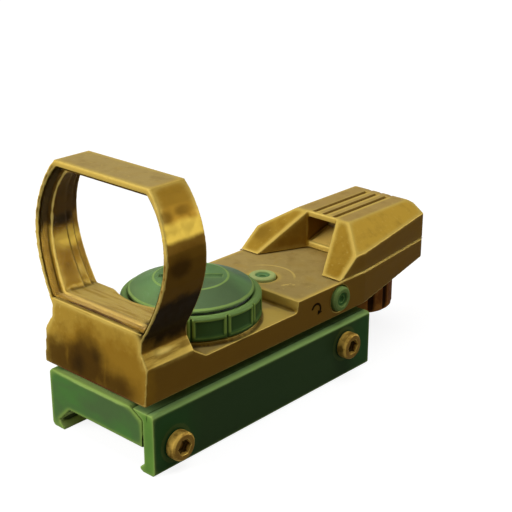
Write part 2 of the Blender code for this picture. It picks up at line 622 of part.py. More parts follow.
def make_clamp_plate():
    """The moving jaw: a flange rides over the base's sloped shoulder and a hook grips the rail."""
    groove_z = BASE_TOP_Z - PLATE_GROOVE_DEPTH
    fall = (BASE_TOP_Z - SHOULDER_FOOT_Z) / (SHOULDER_X[1] - SHOULDER_X[0])
    tip_x = SHOULDER_X[0] + 0.8 * MM
    over = 0.35 * MM
    tip_z = BASE_TOP_Z + over - fall * (tip_x - SHOULDER_X[0])
    foot_z = BASE_TOP_Z + over - fall * (RAIL_HALF - SHOULDER_X[0])
    section = [(tip_x, tip_z), (tip_x + 0.1 * MM, BASE_TOP_Z), (PLATE_GROOVE_X[0], BASE_TOP_Z),
               (PLATE_GROOVE_X[0], groove_z), (PLATE_GROOVE_X[1], groove_z), (PLATE_GROOVE_X[1], BASE_TOP_Z),
               (PLATE_OUTER_X - 0.4 * MM, BASE_TOP_Z), (PLATE_OUTER_X, BASE_TOP_Z - 0.4 * MM),
               (PLATE_OUTER_X, BASE_BOTTOM_Z + 0.4 * MM),
               (PLATE_OUTER_X - 0.4 * MM, BASE_BOTTOM_Z), (10.3 * MM, BASE_BOTTOM_Z),
               (9.7 * MM, BASE_BOTTOM_Z + 0.35 * MM), (9.8 * MM, -3.2 * MM), (RAIL_HALF, -2.3 * MM),
               (RAIL_HALF, foot_z)]
    plate = slab("clamp_plate", section, (-BASE_HALF_LENGTH, BASE_HALF_LENGTH), "XZ")
    bore = CLAMP_SHANK_RADIUS + 0.15 * MM
    for end, (y, z) in CLAMP_SCREW_PLACES.items():
        cut(plate, rod(f"plate_hole_{end}", bore, (5 * MM, y, z), 20 * MM, axis="X", sides=20))
    return keep(plate, GREEN_PAINT)


def make_clamp_screw(end):
    """A socket head screw along X; the front one is long and also stops the rail's cross slot."""
    y, z = CLAMP_SCREW_PLACES[end]
    seat = PLATE_OUTER_X + GAP
    edge = 0.35 * MM
    tip = CLAMP_SHANK_ENDS[end]
    profile = [(0.0, CLAMP_HEAD_END_X), (CLAMP_HEAD_RADIUS - edge, CLAMP_HEAD_END_X),
               (CLAMP_HEAD_RADIUS, CLAMP_HEAD_END_X - edge), (CLAMP_HEAD_RADIUS, seat),
               (CLAMP_SHANK_RADIUS, seat), (CLAMP_SHANK_RADIUS, tip + 0.5 * MM),
               (CLAMP_SHANK_RADIUS - 0.5 * MM, tip), (0.0, tip)]
    screw = turned(f"clamp_screw_{end}", profile, (0.0, y, z), axis="X", sides=28)
    socket_floor = (CLAMP_HEAD_END_X - 1.2 * MM, y, z)
    cut(screw, rod(f"clamp_socket_{end}", 1.45 * MM, socket_floor, 4 * MM, axis="X", sides=6))
    return keep(screw, BRASS)


def make_base_screw(row, side, x, y):
    """A cap screw from the rail channel up into the casting."""
    head = 1.8 * MM
    shank = 1.0 * MM
    top = 11.0 * MM
    seat = 2.6 * MM
    bottom = 0.8 * MM
    profile = [(0.0, top), (shank, top), (shank, seat), (head, seat), (head, bottom + 0.2 * MM),
               (head - 0.2 * MM, bottom), (0.0, bottom)]
    name = f"base_screw_{row}_{side}"
    screw = turned(name, profile, (x, y, 0.0), sides=16)
    cut(screw, rod(name + "_socket", 0.9 * MM, (x, y, 0.0), bottom + 0.9 * MM, sides=6))
    return keep(screw, STEEL)


# Brightness knob, battery and switch

def make_brightness_knob():
    """A grip ring on a cup that holds the coin cell, with a hub that turns in the casting."""
    edge = 0.4 * MM
    mouth = 0.8 * MM
    groove_top = CLIP_Z[1] + 0.1 * MM
    groove_bottom = CLIP_Z[0] - 0.1 * MM
    foot = HUB_RADIUS - 0.2 * MM
    contact_bore = 2.0 * MM
    grip = [(CUP_BORE + mouth, KNOB_TOP_Z), (KNOB_RADIUS - edge, KNOB_TOP_Z),
            (KNOB_RADIUS, KNOB_TOP_Z - edge), (KNOB_RADIUS, KNOB_BOTTOM_Z),
            (CUP_RADIUS, KNOB_BOTTOM_Z), (CUP_RADIUS, CUP_BOTTOM_Z)]
    hub = [(HUB_RADIUS, CUP_BOTTOM_Z), (HUB_RADIUS, groove_top), (CLIP_GROOVE_RADIUS, groove_top),
           (CLIP_GROOVE_RADIUS, groove_bottom), (foot, groove_bottom), (foot, HUB_BOTTOM_Z)]
    inside = [(contact_bore, HUB_BOTTOM_Z), (contact_bore, CUP_FLOOR_Z), (CUP_BORE, CUP_FLOOR_Z),
              (CUP_BORE, KNOB_TOP_Z - mouth)]
    centre = Vector((0.0, KNOB_Y, 0.0))
    knob = turned("brightness_knob", grip + hub + inside, centre, sides=48, closed=True)
    step = 2 * math.pi / GRIP_PANELS
    reach = 2 * MM
    panel_height = GRIP_PANEL_Z[1] - GRIP_PANEL_Z[0]
    panel_middle = (GRIP_PANEL_Z[1] + GRIP_PANEL_Z[0]) / 2
    panel_face = KNOB_RADIUS - GRIP_DEPTH

    def panel(shape, spin):
        place = Matrix.Translation((panel_face + reach / 2, 0.0, panel_middle))
        size = Matrix.Diagonal((reach, GRIP_PANEL_WIDTH, panel_height, 1.0))
        bmesh.ops.create_cube(shape, size=1.0, matrix=spin @ place @ size)

    def slot(shape, spin):
        place = Matrix.Translation((KNOB_RADIUS - 0.45 * MM + reach / 2, 0.0, panel_middle - 0.1 * MM))
        size = Matrix.Diagonal((reach, GRIP_SLOT_WIDTH, 8 * MM, 1.0))
        bmesh.ops.create_cube(shape, size=1.0, matrix=spin @ place @ size)

    cut(knob, ring_of("grip_panels", GRIP_PANELS, 0.0, panel, centre),
        ring_of("grip_slots", GRIP_PANELS, step / 2, slot, centre))
    return keep(knob, GREEN_PAINT)


def make_battery_cap():
    """A screw-in lid with a low cone, a coin slot in its crown, and a spigot in the knob's bore."""
    edge = 0.35 * MM
    profile = [(0.0, CAP_CROWN_Z), (CAP_CROWN_RADIUS, CAP_CROWN_Z), (CAP_RADIUS - edge, CAP_RIM_Z),
               (CAP_RADIUS, CAP_RIM_Z - edge), (CAP_RADIUS, CAP_FLANGE_Z), (CAP_SPIGOT_RADIUS, CAP_FLANGE_Z),
               (CAP_SPIGOT_RADIUS, CAP_SPIGOT_Z), (0.0, CAP_SPIGOT_Z)]
    cap = turned("battery_cap", profile, (0.0, KNOB_Y, 0.0), sides=48)
    length, width, depth = COIN_SLOT
    slot = box("coin_slot", (-length / 2, length / 2), (-width / 2, width / 2), (-depth, 1 * MM))
    turn = Matrix.Rotation(COIN_SLOT_TURN, 4, "Z")
    slot.matrix_world = Matrix.Translation((0.0, KNOB_Y, CAP_CROWN_Z)) @ turn
    cut(cap, slot)
    return keep(cap, DARK_GREEN)


def make_cap_seal():
    """A rubber ring squeezed between cap, spigot and the chamfer of the knob's bore."""
    radius = 0.22 * MM
    middle = (10.33 * MM, 17.9 * MM)
    turns = [2 * math.pi * index / 6 for index in range(6)]
    profile = [(middle[0] + radius * math.cos(a), middle[1] - radius * math.sin(a)) for a in turns]
    return keep(turned("cap_seal", profile, (0.0, KNOB_Y, 0.0), sides=32, closed=True), BLACK_RUBBER)


def make_coin_cell():
    edge = 0.3 * MM
    step = 1.2 * MM
    low, high = CELL_Z
    can = [(0.0, high), (CELL_RADIUS - edge, high), (CELL_RADIUS, high - edge), (CELL_RADIUS, low + edge)]
    button = [(CELL_RADIUS - step, low + edge), (CELL_RADIUS - step, low), (0.0, low)]
    return keep(turned("coin_cell", can + button, (0.0, KNOB_Y, 0.0), sides=32), STEEL)


def make_battery_contact():
    """A dished spring washer with a pin that goes down through the hub."""
    dish = [(0.0, 12.95 * MM), (1.6 * MM, 12.95 * MM), (7.0 * MM, 12.85 * MM), (7.0 * MM, 12.7 * MM)]
    pin = [(1.2 * MM, 12.7 * MM), (1.2 * MM, 9.4 * MM), (0.0, 9.4 * MM)]
    return keep(turned("battery_contact", dish + pin, (0.0, KNOB_Y, 0.0), sides=24), BRASS)


def make_knob_clip():
    """An open retaining ring that snaps into the hub's groove under the casting."""
    inner = CLIP_GROOVE_RADIUS + 0.1 * MM
    outer = HUB_RADIUS + 1.2 * MM
    profile = [(inner, CLIP_Z[1]), (outer, CLIP_Z[1]), (outer, CLIP_Z[0]), (inner, CLIP_Z[0])]
    clip = turned("knob_clip", profile, (0.0, KNOB_Y, 0.0), sides=32, closed=True)
    cut(clip, box("clip_opening", (-1.8 * MM, 1.8 * MM), (KNOB_Y, KNOB_Y + 9 * MM), (8 * MM, 10 * MM)))
    return keep(clip, STEEL)


def make_switch_board():
    inner = 4.9 * MM
    outer = 10.8 * MM
    low = POCKET_FLOOR_Z + GAP
    high = low + 0.6 * MM
    profile = [(inner, high), (outer, high), (outer, low), (inner, low)]
    return keep(turned("switch_board", profile, (0.0, KNOB_Y, 0.0), sides=32, closed=True), CIRCUIT_GREEN)


def make_switch_wiper():
    """A sprung ring under the cup with one finger that sweeps the switch board."""
    inner = 4.7 * MM
    outer = 6.0 * MM
    low = 11.45 * MM
    high = 11.7 * MM
    profile = [(inner, high), (outer, high), (outer, low), (inner, low)]
    wiper = turned("switch_wiper", profile, (0.0, KNOB_Y, 0.0), sides=24, closed=True)
    finger_x = (-0.8 * MM, 0.8 * MM)
    finger_y = (KNOB_Y - 9.2 * MM, KNOB_Y - 5.2 * MM)
    tip_y = (finger_y[0], finger_y[0] + 0.8 * MM)
    join(wiper, box("wiper_finger", finger_x, finger_y, (11.4 * MM, 11.62 * MM)),
         box("wiper_tip", finger_x, tip_y, (11.1 * MM, 11.55 * MM)))
    return keep(wiper, BRASS)


def make_detent():
    """The sprung ball that clicks into the notches round the knob's cup."""
    height = 11.6 * MM
    ball_y = KNOB_Y + POCKET_RADIUS + 0.6 * MM
    place = Matrix.Translation((0.0, ball_y, height))

    def build(shape):
        bmesh.ops.create_uvsphere(shape, u_segments=12, v_segments=8, radius=0.55 * MM, matrix=place)

    ball = keep(as_cutter("detent_ball", mesh_from("detent_ball", build)), STEEL)
    foot = (0.0, ball_y + 0.75 * MM, height)
    spring = wire_coil("detent_spring", 0.42 * MM, 0.1 * MM, 0.62 * MM, 2, foot, axis="Y")
    return ball, keep(spring, STEEL)


# Aiming adjusters

def make_elevation_screw():
    """A flanged screw with a dished top that presses down on the arm's nose."""
    top = DECK_Z + 0.5 * MM
    edge = 0.2 * MM
    seat = DECK_Z - 0.45 * MM
    tip = ARM_Z[1] + 0.6 * MM
    shank = 0.9 * MM
    dish_z = top - DISH_DEPTH
    profile = [(0.0, dish_z), (DISH_RADIUS, dish_z), (DISH_RADIUS + 0.1 * MM, top),
               (ELEVATION_RADIUS - edge, top), (ELEVATION_RADIUS, top - edge),
               (ELEVATION_RADIUS, seat), (shank, seat), (shank, tip), (0.0, tip)]
    screw = turned("elevation_screw", profile, (0.0, ELEVATION_Y, 0.0), sides=28)
    drive_floor = (0.0, ELEVATION_Y, dish_z - 0.3 * MM)
    cut(screw, rod("elevation_drive", DRIVE_RADIUS, drive_floor, 2 * MM, sides=6))
    return keep(screw, GREEN_PAINT)


def make_windage_screw():
    """A flanged screw with a dished face in the right-hand wall that presses on the side of the arm."""
    end = BODY_HALF_WIDTH + 0.75 * MM
    edge = 0.3 * MM
    seat = BODY_HALF_WIDTH - 0.45 * MM
    tip = ARM_HALF_WIDTH + 0.55 * MM
    shank = 0.9 * MM
    dish_x = end - DISH_DEPTH
    profile = [(0.0, dish_x), (DISH_RADIUS, dish_x), (DISH_RADIUS + 0.1 * MM, end),
               (WINDAGE_RADIUS - edge, end), (WINDAGE_RADIUS, end - edge),
               (WINDAGE_RADIUS, seat), (shank, seat), (shank, tip), (0.0, tip)]
    screw = turned("windage_screw", profile, (0.0, WINDAGE_Y, WINDAGE_Z), axis="X", sides=28)
    drive_floor = (dish_x - 0.3 * MM, WINDAGE_Y, WINDAGE_Z)
    cut(screw, rod("windage_drive", DRIVE_RADIUS, drive_floor, 2 * MM, axis="X", sides=6))
    return keep(screw, GREEN_PAINT)


def make_pivot_yoke():
    """A fork on an upright pin: the pin swings for windage, the fork carries the arm for elevation."""
    pin = 0.95 * MM
    plate = 2.6 * MM
    profile = [(0.0, 10.85 * MM), (plate, 10.85 * MM), (plate, 10.65 * MM), (pin, 10.65 * MM),
               (pin, 9.5 * MM), (0.0, 9.5 * MM)]
    yoke = turned("pivot_yoke", profile, (0.0, PIVOT_Y, 0.0), sides=20)
    ear_y = (PIVOT_Y - 1.2 * MM, PIVOT_Y + 1.2 * MM)
    for side, x in (("left", (-2.6 * MM, -2.05 * MM)), ("right", (2.05 * MM, 2.6 * MM))):
        join(yoke, box(f"yoke_ear_{side}", x, ear_y, (10.7 * MM, PIVOT_Z + 1.0 * MM)))
    cut(yoke, rod("yoke_bore", 0.6 * MM, (-4 * MM, PIVOT_Y, PIVOT_Z), 8 * MM, axis="X", sides=16))
    return keep(yoke, BRASS)


def make_emitter_arm():
    """A lever from the adjusters to the emitter head, with a post and bridge over the drum."""
    wide = (-ARM_HALF_WIDTH, ARM_HALF_WIDTH)
    arm = box("emitter_arm", wide, (ARM_NOSE_Y, 37.6 * MM), ARM_Z)
    head_z = (12.75 * MM, 13.7 * MM)
    join(arm,
         box("arm_riser", wide, (34.6 * MM, 37.4 * MM), (11.2 * MM, 13.4 * MM)),
         box("arm_head", (-4.4 * MM, 4.4 * MM), (36.9 * MM, 46.3 * MM), head_z),
         box("arm_post", (-3.0 * MM, 3.0 * MM), (45.4 * MM, 46.5 * MM), (13.2 * MM, 20.2 * MM)),
         box("arm_bridge", (-2.0 * MM, 2.0 * MM), (38.8 * MM, 46.0 * MM), (19.55 * MM, 20.1 * MM)),
         rod("arm_trunnion", 0.5 * MM, (-2.5 * MM, PIVOT_Y, PIVOT_Z), 5.0 * MM, axis="X", sides=16))
    cut(arm, rod("head_bore", NECK_RADIUS + 0.15 * MM, (0.0, SELECTOR_Y, 10 * MM), 6 * MM))
    return keep(arm, BLACK_PLASTIC)


def make_arm_spring():
    foot = (0.0, ELEVATION_Y, 9.6 * MM)
    return keep(wire_coil("arm_spring", 1.05 * MM, 0.14 * MM, 0.7 * MM, 1.5, foot), STEEL)


def make_arm_lid():
    """The plate that closes the arm's space from below."""
    side = ARM_SPACE_HALF + 0.75 * MM
    y = (ARM_SPACE_Y[0] - 0.75 * MM, ARM_SPACE_Y[1] + 0.55 * MM)
    return keep(box("arm_lid", (-side, side), y, (BODY_BOTTOM_Z, BODY_BOTTOM_Z + 0.8 * MM)), STEEL)


def make_reticle_selector():
    """The fluted knob under the tail, with a neck that carries the reticle drum."""
    low, high = SELECTOR_Z
    edge = 0.5 * MM
    top = DRUM_Z[0] - GAP
    face = SELECTOR_RADIUS - edge
    neck = [(0.0, top), (NECK_RADIUS, top), (NECK_RADIUS, high)]
    grip = [(face, high), (SELECTOR_RADIUS, high - edge), (SELECTOR_RADIUS, low + edge), (face, low),
            (0.0, low)]
    centre = Vector((0.0, SELECTOR_Y, 0.0))
    knob = turned("reticle_selector", neck + grip, centre, sides=36)
    middle = (low + high) / 2

    def flute(shape, spin):
        place = Matrix.Translation((SELECTOR_RADIUS + 0.35 * MM, 0.0, middle))
        bmesh.ops.create_cone(shape, cap_ends=True, segments=10, radius1=0.9 * MM, radius2=0.9 * MM,
                              depth=2 * (high - low), matrix=spin @ place)

    return keep(cut(knob, ring_of("selector_flutes", SELECTOR_FLUTES, 0.0, flute, centre)), RED_BROWN)


def make_reticle_drum():
    """A thin cup with four aiming holes that turns round the LED."""
    low, high = DRUM_Z
    wall = 0.5 * MM
    bore = DRUM_RADIUS - wall
    profile = [(0.0, low + wall), (bore, low + wall), (bore, high), (DRUM_RADIUS, high), (DRUM_RADIUS, low),
               (0.0, low)]
    drum = turned("reticle_drum", profile, (0.0, SELECTOR_Y, 0.0), sides=24)
    reach = 5 * MM
    hole = 0.6 * MM
    cut(drum, rod("reticle_holes_y", hole, (0.0, SELECTOR_Y - reach, BEAM_Z), 2 * reach, axis="Y", sides=12),
        rod("reticle_holes_x", hole, (-reach, SELECTOR_Y, BEAM_Z), 2 * reach, axis="X", sides=12))
    return keep(drum, STEEL)


def make_led():
    """The LED on its board, hanging inside the drum from the arm's bridge."""
    board_z = (18.7 * MM, 19.3 * MM)
    half = 1.7 * MM
    board = box("led_board", (-half, half), (SELECTOR_Y - half, SELECTOR_Y + half), board_z)
    top = board_z[0] - GAP
    bottom = BEAM_Z - 0.6 * MM
    radius = 0.9 * MM
    dome = 0.4 * MM
    profile = [(0.0, top), (radius, top), (radius, bottom + dome), (radius - dome, bottom), (0.0, bottom)]
    led = turned("led", profile, (0.0, SELECTOR_Y, 0.0), sides=16)
    return keep(board, CIRCUIT_GREEN), keep(led, RED_LED)


# Assembly

clear_scene()
PARTS = new_collection("red_dot_finder")
CUTTERS = new_collection("cutters")

tapers = tail_tapers()
make_main_body(tapers)
make_reflector_lens()
make_emitter_cover(tapers)
make_emitter_window()
for side, x in (("left", -COVER_SCREW_X), ("right", COVER_SCREW_X)):
    make_cover_screw(side, x)

make_rail_base()
plate = make_clamp_plate()
for end, (y, z) in CLAMP_SCREW_PLACES.items():
    hang_on_axis(f"clamp_axis_{end}", (PLATE_OUTER_X, y, z), make_clamp_screw(end))
for row, y in BASE_SCREW_Y.items():
    for side, x in (("left", -BASE_SCREW_X), ("right", BASE_SCREW_X)):
        make_base_screw(row, side, x, y)

hang_on_axis("knob_axis", (0.0, KNOB_Y, KNOB_TOP_Z), make_brightness_knob(), make_coin_cell(),
             make_battery_contact(), make_knob_clip(), make_switch_wiper())
hang_on_axis("cap_axis", (0.0, KNOB_Y, CAP_RIM_Z), make_battery_cap(), make_cap_seal())
make_switch_board()
make_detent()

hang_on_axis("elevation_axis", (0.0, ELEVATION_Y, DECK_Z), make_elevation_screw())
hang_on_axis("windage_axis", (BODY_HALF_WIDTH, WINDAGE_Y, WINDAGE_Z), make_windage_screw())
hang_on_axis("arm_pivot", (0.0, PIVOT_Y, PIVOT_Z), make_pivot_yoke(), make_emitter_arm(), *make_led())
make_arm_spring()
make_arm_lid()
hang_on_axis("selector_axis", (0.0, SELECTOR_Y, SELECTOR_Z[0]), make_reticle_selector(), make_reticle_drum())

for part in PARTS.objects:
    if part.type == "MESH":
        part.data.shade_smooth()
        part.data.set_sharp_from_angle(angle=math.radians(35))
print("pieces:", sum(1 for part in PARTS.objects if part.type == "MESH"))
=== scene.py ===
# %% [markdown]
# # A red dot finder, dressed
# The finder is a small open sight: a leaning hood with a clear lens, a round knob over the battery,
# a sloped housing for the lamp, and a clamp for a rail below. The solids give every size and place.
# This lesson rounds their edges, gives each finish its wear with some painted light and shade, and sets the
# light and the camera.

# %% Load the solids
import json
import math
from contextlib import contextmanager
from functools import partial, reduce

import bpy
import bmesh
import numpy as np
from mathutils import Matrix, Vector


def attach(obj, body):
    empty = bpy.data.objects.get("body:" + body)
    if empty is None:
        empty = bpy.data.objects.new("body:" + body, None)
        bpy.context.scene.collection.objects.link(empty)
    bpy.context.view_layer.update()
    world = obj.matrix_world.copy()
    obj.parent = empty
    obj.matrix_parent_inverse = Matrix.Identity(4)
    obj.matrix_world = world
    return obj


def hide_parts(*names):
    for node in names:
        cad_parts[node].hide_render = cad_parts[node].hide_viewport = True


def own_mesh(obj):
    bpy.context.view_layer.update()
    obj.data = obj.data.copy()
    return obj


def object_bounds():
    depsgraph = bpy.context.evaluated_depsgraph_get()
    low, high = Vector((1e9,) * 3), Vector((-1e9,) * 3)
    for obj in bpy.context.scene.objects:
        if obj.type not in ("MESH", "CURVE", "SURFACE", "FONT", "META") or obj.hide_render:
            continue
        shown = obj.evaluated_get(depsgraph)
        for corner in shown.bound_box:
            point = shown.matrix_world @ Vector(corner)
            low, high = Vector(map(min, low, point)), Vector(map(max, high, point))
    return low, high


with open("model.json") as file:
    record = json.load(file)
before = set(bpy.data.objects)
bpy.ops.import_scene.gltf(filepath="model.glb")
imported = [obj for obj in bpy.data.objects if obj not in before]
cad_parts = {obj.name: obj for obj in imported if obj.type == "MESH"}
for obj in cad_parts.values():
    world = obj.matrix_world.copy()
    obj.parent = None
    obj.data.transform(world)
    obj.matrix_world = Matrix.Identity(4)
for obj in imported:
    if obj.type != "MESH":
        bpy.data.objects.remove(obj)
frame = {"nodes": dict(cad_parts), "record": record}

MM = 0.001
scene = bpy.context.scene
solids = frame["nodes"]
cad_box = [list(corner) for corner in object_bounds()]


def in_mm(box):
    return [[round(value / MM, 2) for value in corner] for corner in box]


print("solids loaded:", len(solids), "box in mm:", in_mm(cad_box))

# %% [markdown]
# ## Camera
# The camera stands in front of the right-hand corner and a little above. Its angle and distance were
# fitted to points of the picture that have a known place on the solids, so it is written as numbers.

# %% Place the camera
CAMERA_AZIMUTH = math.radians(42.459)
CAMERA_ELEVATION = math.radians(21.306)
CAMERA_DISTANCE = 208.147 * MM
CAMERA_TARGET = Vector((2.941, 7.264, 21.169)) * MM


def new_thing(name, data):
    thing = bpy.data.objects.new(name, data)
    scene.collection.objects.link(thing)
    return thing


def stand_at(thing, away, distance):
    """Put a camera or a light at a distance from the object, looking at it."""
    thing.location = CAMERA_TARGET + distance * away
    thing.rotation_euler = (-away).to_track_quat("-Z", "Y").to_euler()


camera_data = bpy.data.cameras.new("portrait_camera")
camera_data.sensor_width = 36.0
camera_data.lens = 82.47
camera_data.clip_start = 0.005
camera = new_thing("portrait_camera", camera_data)
towards_camera = Vector((math.sin(CAMERA_AZIMUTH) * math.cos(CAMERA_ELEVATION),
                         -math.cos(CAMERA_AZIMUTH) * math.cos(CAMERA_ELEVATION),
                         math.sin(CAMERA_ELEVATION)))
stand_at(camera, towards_camera, CAMERA_DISTANCE)
scene.camera = camera
print("camera at mm:", [round(v / MM, 1) for v in camera.location])

# %% [markdown]
# ## Small helpers for node trees
# Every finish is a node tree. A few short functions keep the lines readable: one links or writes an input,
# one adds a node with its inputs, one maps a value from one range to another, and one lays a colour over
# another where a mask says so.

# %% Node helpers
def set_input(tree, socket, value):
    """Link an output to a socket, or write a plain value on it."""
    if isinstance(value, bpy.types.NodeSocket):
        tree.links.new(value, socket)
    else:
        socket.default_value = value


def add_node(tree, kind, inputs=None, **settings):
    """A node with its settings, and with inputs given by name or by place."""
    made = tree.nodes.new(kind)
    for name, value in settings.items():
        setattr(made, name, value)
    for key, value in (inputs or {}).items():
        set_input(tree, made.inputs[key], value)
    return made


def bare_tree(holder):
    """The emptied node tree of a world or a material."""
    holder.use_nodes = True
    holder.node_tree.nodes.clear()
    return holder.node_tree


def object_place(tree):
    return add_node(tree, "ShaderNodeTexCoord").outputs["Object"]


print("helpers:", [helper.__name__ for helper in (set_input, add_node, bare_tree, object_place)])

# %% Values and colours in nodes
def math_node(tree, operation, first, second=0.0):
    return add_node(tree, "ShaderNodeMath", {0: first, 1: second}, operation=operation).outputs[0]


def vector_node(tree, operation, first, second=(0.0, 0.0, 0.0)):
    made = add_node(tree, "ShaderNodeVectorMath", {0: first, 1: second}, operation=operation)
    return made.outputs["Value" if operation in ("LENGTH", "DOT_PRODUCT") else "Vector"]


def ramp_between(tree, value, low, high, out_low=0.0, out_high=1.0):
    given = dict(enumerate((value, low, high, out_low, out_high)))
    return add_node(tree, "ShaderNodeMapRange", given, interpolation_type="SMOOTHSTEP").outputs[0]


def lay_over(tree, below, colour, mask):
    """A colour laid over what is below it, as thick as the mask."""
    return add_node(tree, "ShaderNodeMix", {0: mask, 6: below, 7: colour}, data_type="RGBA").outputs[2]


def rgb(red, green, blue):
    """A colour as it is read off a screen, turned into the linear values that nodes work with."""
    def linear(part):
        share = part / 255
        return share / 12.92 if share <= 0.04045 else ((share + 0.055) / 1.055) ** 2.4
    return (linear(red), linear(green), linear(blue), 1.0)


print("a mid grey is", [round(v, 3) for v in rgb(128, 128, 128)])

# %% [markdown]
# ## Studio
# A pale floor and a pale room let the object stand alone. The camera, shiny paint and glass see them
# as white. For light that bounces they are darker, so the right-hand side stays in shade as it does in the
# picture. Near the object the floor glows a little less, so its shadow shows. A wide panel in front and one
# overhead give the soft light, and a third behind on the right is only seen in gloss: it draws the bright
# lines along worn edges.

# %% Room
ROOM_FILL = 0.08
WHITE = (1.0, 1.0, 1.0, 1.0)


def seen_directly(tree):
    """One where a ray comes from the camera, from gloss or through glass."""
    path = add_node(tree, "ShaderNodeLightPath")
    either = math_node(tree, "MAXIMUM", path.outputs["Is Camera Ray"], path.outputs["Is Glossy Ray"])
    return math_node(tree, "MAXIMUM", either, path.outputs["Is Transmission Ray"])


def make_room():
    world = bpy.data.worlds.new("pale_room")
    tree = bare_tree(world)
    strength = ramp_between(tree, seen_directly(tree), 0.0, 1.0, ROOM_FILL, 1.0)
    light = add_node(tree, "ShaderNodeBackground", {"Color": WHITE, "Strength": strength})
    add_node(tree, "ShaderNodeOutputWorld", {0: light.outputs[0]})
    scene.world = world


make_room()
print("light that the room gives to surfaces:", ROOM_FILL)

# %% Floor
FLOOR_GLOW = 0.88
FLOOR_NEAR, FLOOR_FAR = 0.10, 0.45
FLOOR_PAPER = 0.25
FLOOR_HALF, FLOOR_GAP = 3.0, 0.02 * MM


def floor_finish():
    material = bpy.data.materials.new("pale_floor")
    tree = bare_tree(material)
    grey = (FLOOR_PAPER, FLOOR_PAPER, FLOOR_PAPER, 1.0)
    paper = add_node(tree, "ShaderNodeBsdfDiffuse", {"Color": grey})
    away = vector_node(tree, "LENGTH", object_place(tree))
    strength = ramp_between(tree, away, FLOOR_NEAR, FLOOR_FAR, FLOOR_GLOW, 1.0)
    seen = math_node(tree, "MULTIPLY", seen_directly(tree), strength)
    glow = add_node(tree, "ShaderNodeEmission", {"Strength": seen})
    both = add_node(tree, "ShaderNodeAddShader", {0: paper.outputs[0], 1: glow.outputs[0]})
    add_node(tree, "ShaderNodeOutputMaterial", {0: both.outputs[0]})
    return material


def make_floor():
    half, low = FLOOR_HALF, cad_box[0][2] - FLOOR_GAP
    corners = [(-half, -half, low), (half, -half, low), (half, half, low), (-half, half, low)]
    mesh = bpy.data.meshes.new("floor")
    mesh.from_pydata(corners, [], [(0, 1, 2, 3)])
    mesh.materials.append(floor_finish())
    new_thing("floor", mesh)


make_floor()
print("floor below the solids by mm:", FLOOR_GAP / MM)

# %% Panels
PANEL_DISTANCE = 0.5


def make_panel(name, direction, size, watts, only_gloss=False):
    """A soft panel half a metre away that faces the object."""
    data = bpy.data.lights.new(name, "AREA")
    data.shape = "RECTANGLE"
    data.size, data.size_y = size
    data.energy = watts
    panel = new_thing(name, data)
    stand_at(panel, Vector(direction).normalized(), PANEL_DISTANCE)
    panel.visible_camera = False
    panel.visible_diffuse = not only_gloss


make_panel("front_panel", (-0.42, -0.80, 0.42), (0.30, 0.30), 2.1)
make_panel("top_panel", (0.20, 0.05, 1.0), (0.40, 0.40), 1.45)
make_panel("gloss_panel", (0.68, 0.70, 0.22), (0.50, 0.22), 3.0, only_gloss=True)
scene.view_settings.view_transform = "Standard"

# %% [markdown]
# ## Rounded copies of the solids
# A cast and painted piece has no knife edges. A Bevel modifier stumbles where many cuts meet, so each
# visible solid is copied, remeshed on an even fine grid and smoothed a little, which rounds all of its
# edges alike. On such a grid it is easy to measure how far each point stands out from its neighbours.
# That gives three point values for the finishes: "edge" for the thin line of a ridge, "brim" for the wider
# border beside it, and "hollow" for grooves and inner corners. Decimate then thins the flat parts.

# %% Measure ridges, borders and hollows
NEAR_ROUNDS, BORDER_ROUNDS, WIDE_ROUNDS = 6, 4, 20
RIDGE_FULL, HOLLOW_FULL = 0.45, 0.5


def neighbour_means(points, edges, rounds):
    """Points drawn towards the mean of their neighbours, some rounds long."""
    count = len(points)
    first, second = edges[:, 0], edges[:, 1]
    share = np.bincount(first, minlength=count) + np.bincount(second, minlength=count)
    moved = points.copy()
    for _ in range(rounds):
        total = np.empty_like(moved)
        for axis in range(3):
            total[:, axis] = (np.bincount(first, moved[second, axis], count)
                              + np.bincount(second, moved[first, axis], count))
        moved = 0.5 * moved + 0.5 * total / share[:, None]
    return moved


def read_vectors(items, name, width):
    flat = np.empty(len(items) * width, np.float32 if name != "vertices" else np.int32)
    items.foreach_get(name, flat)
    return flat.reshape(-1, width)


def store_value(mesh, name, values):
    attribute = mesh.attributes.new(name, "FLOAT", "POINT")
    attribute.data.foreach_set("value", np.clip(values, 0.0, 1.0).astype(np.float32))


def measure_wear(mesh, grid, border):
    """Three point values, from points drawn in over a short, a wider and the widest reach."""
    points = read_vectors(mesh.vertices, "co", 3).astype(float)
    normals = read_vectors(mesh.vertices, "normal", 3).astype(float)
    edges = read_vectors(mesh.edges, "vertices", 2)
    reach = border / grid
    near = neighbour_means(points, edges, NEAR_ROUNDS)
    middle = neighbour_means(near, edges, round(BORDER_ROUNDS * reach ** 2))
    wide = neighbour_means(middle, edges, WIDE_ROUNDS)
    ridge, rim, bulk = (np.einsum("ij,ij->i", points - mean, normals) / grid for mean in (near, middle, wide))
    store_value(mesh, "edge", ridge / RIDGE_FULL)
    store_value(mesh, "brim", rim / (RIDGE_FULL * reach))
    store_value(mesh, "hollow", np.maximum(-ridge / HOLLOW_FULL, -bulk / (HOLLOW_FULL * reach)))


bent_line = np.array([(0.0, 0.0, 0.0), (1.0, 1.0, 0.0), (2.0, 0.0, 0.0)])
print("the tip of a bent line is drawn to", neighbour_means(bent_line, np.array([(0, 1), (1, 2)]), 1)[1])

# %% Join and evaluate meshes
WELD = 0.001 * MM


def mesh_of(thing):
    """The mesh that a thing's modifiers, or a curve's section, give."""
    graph = bpy.context.evaluated_depsgraph_get()
    return bpy.data.meshes.new_from_object(thing.evaluated_get(graph))


def finished_mesh(thing):
    """That mesh, put in place of the thing's own."""
    made = mesh_of(thing)
    thing.modifiers.clear()
    thing.data = made
    made.name = thing.name
    return made


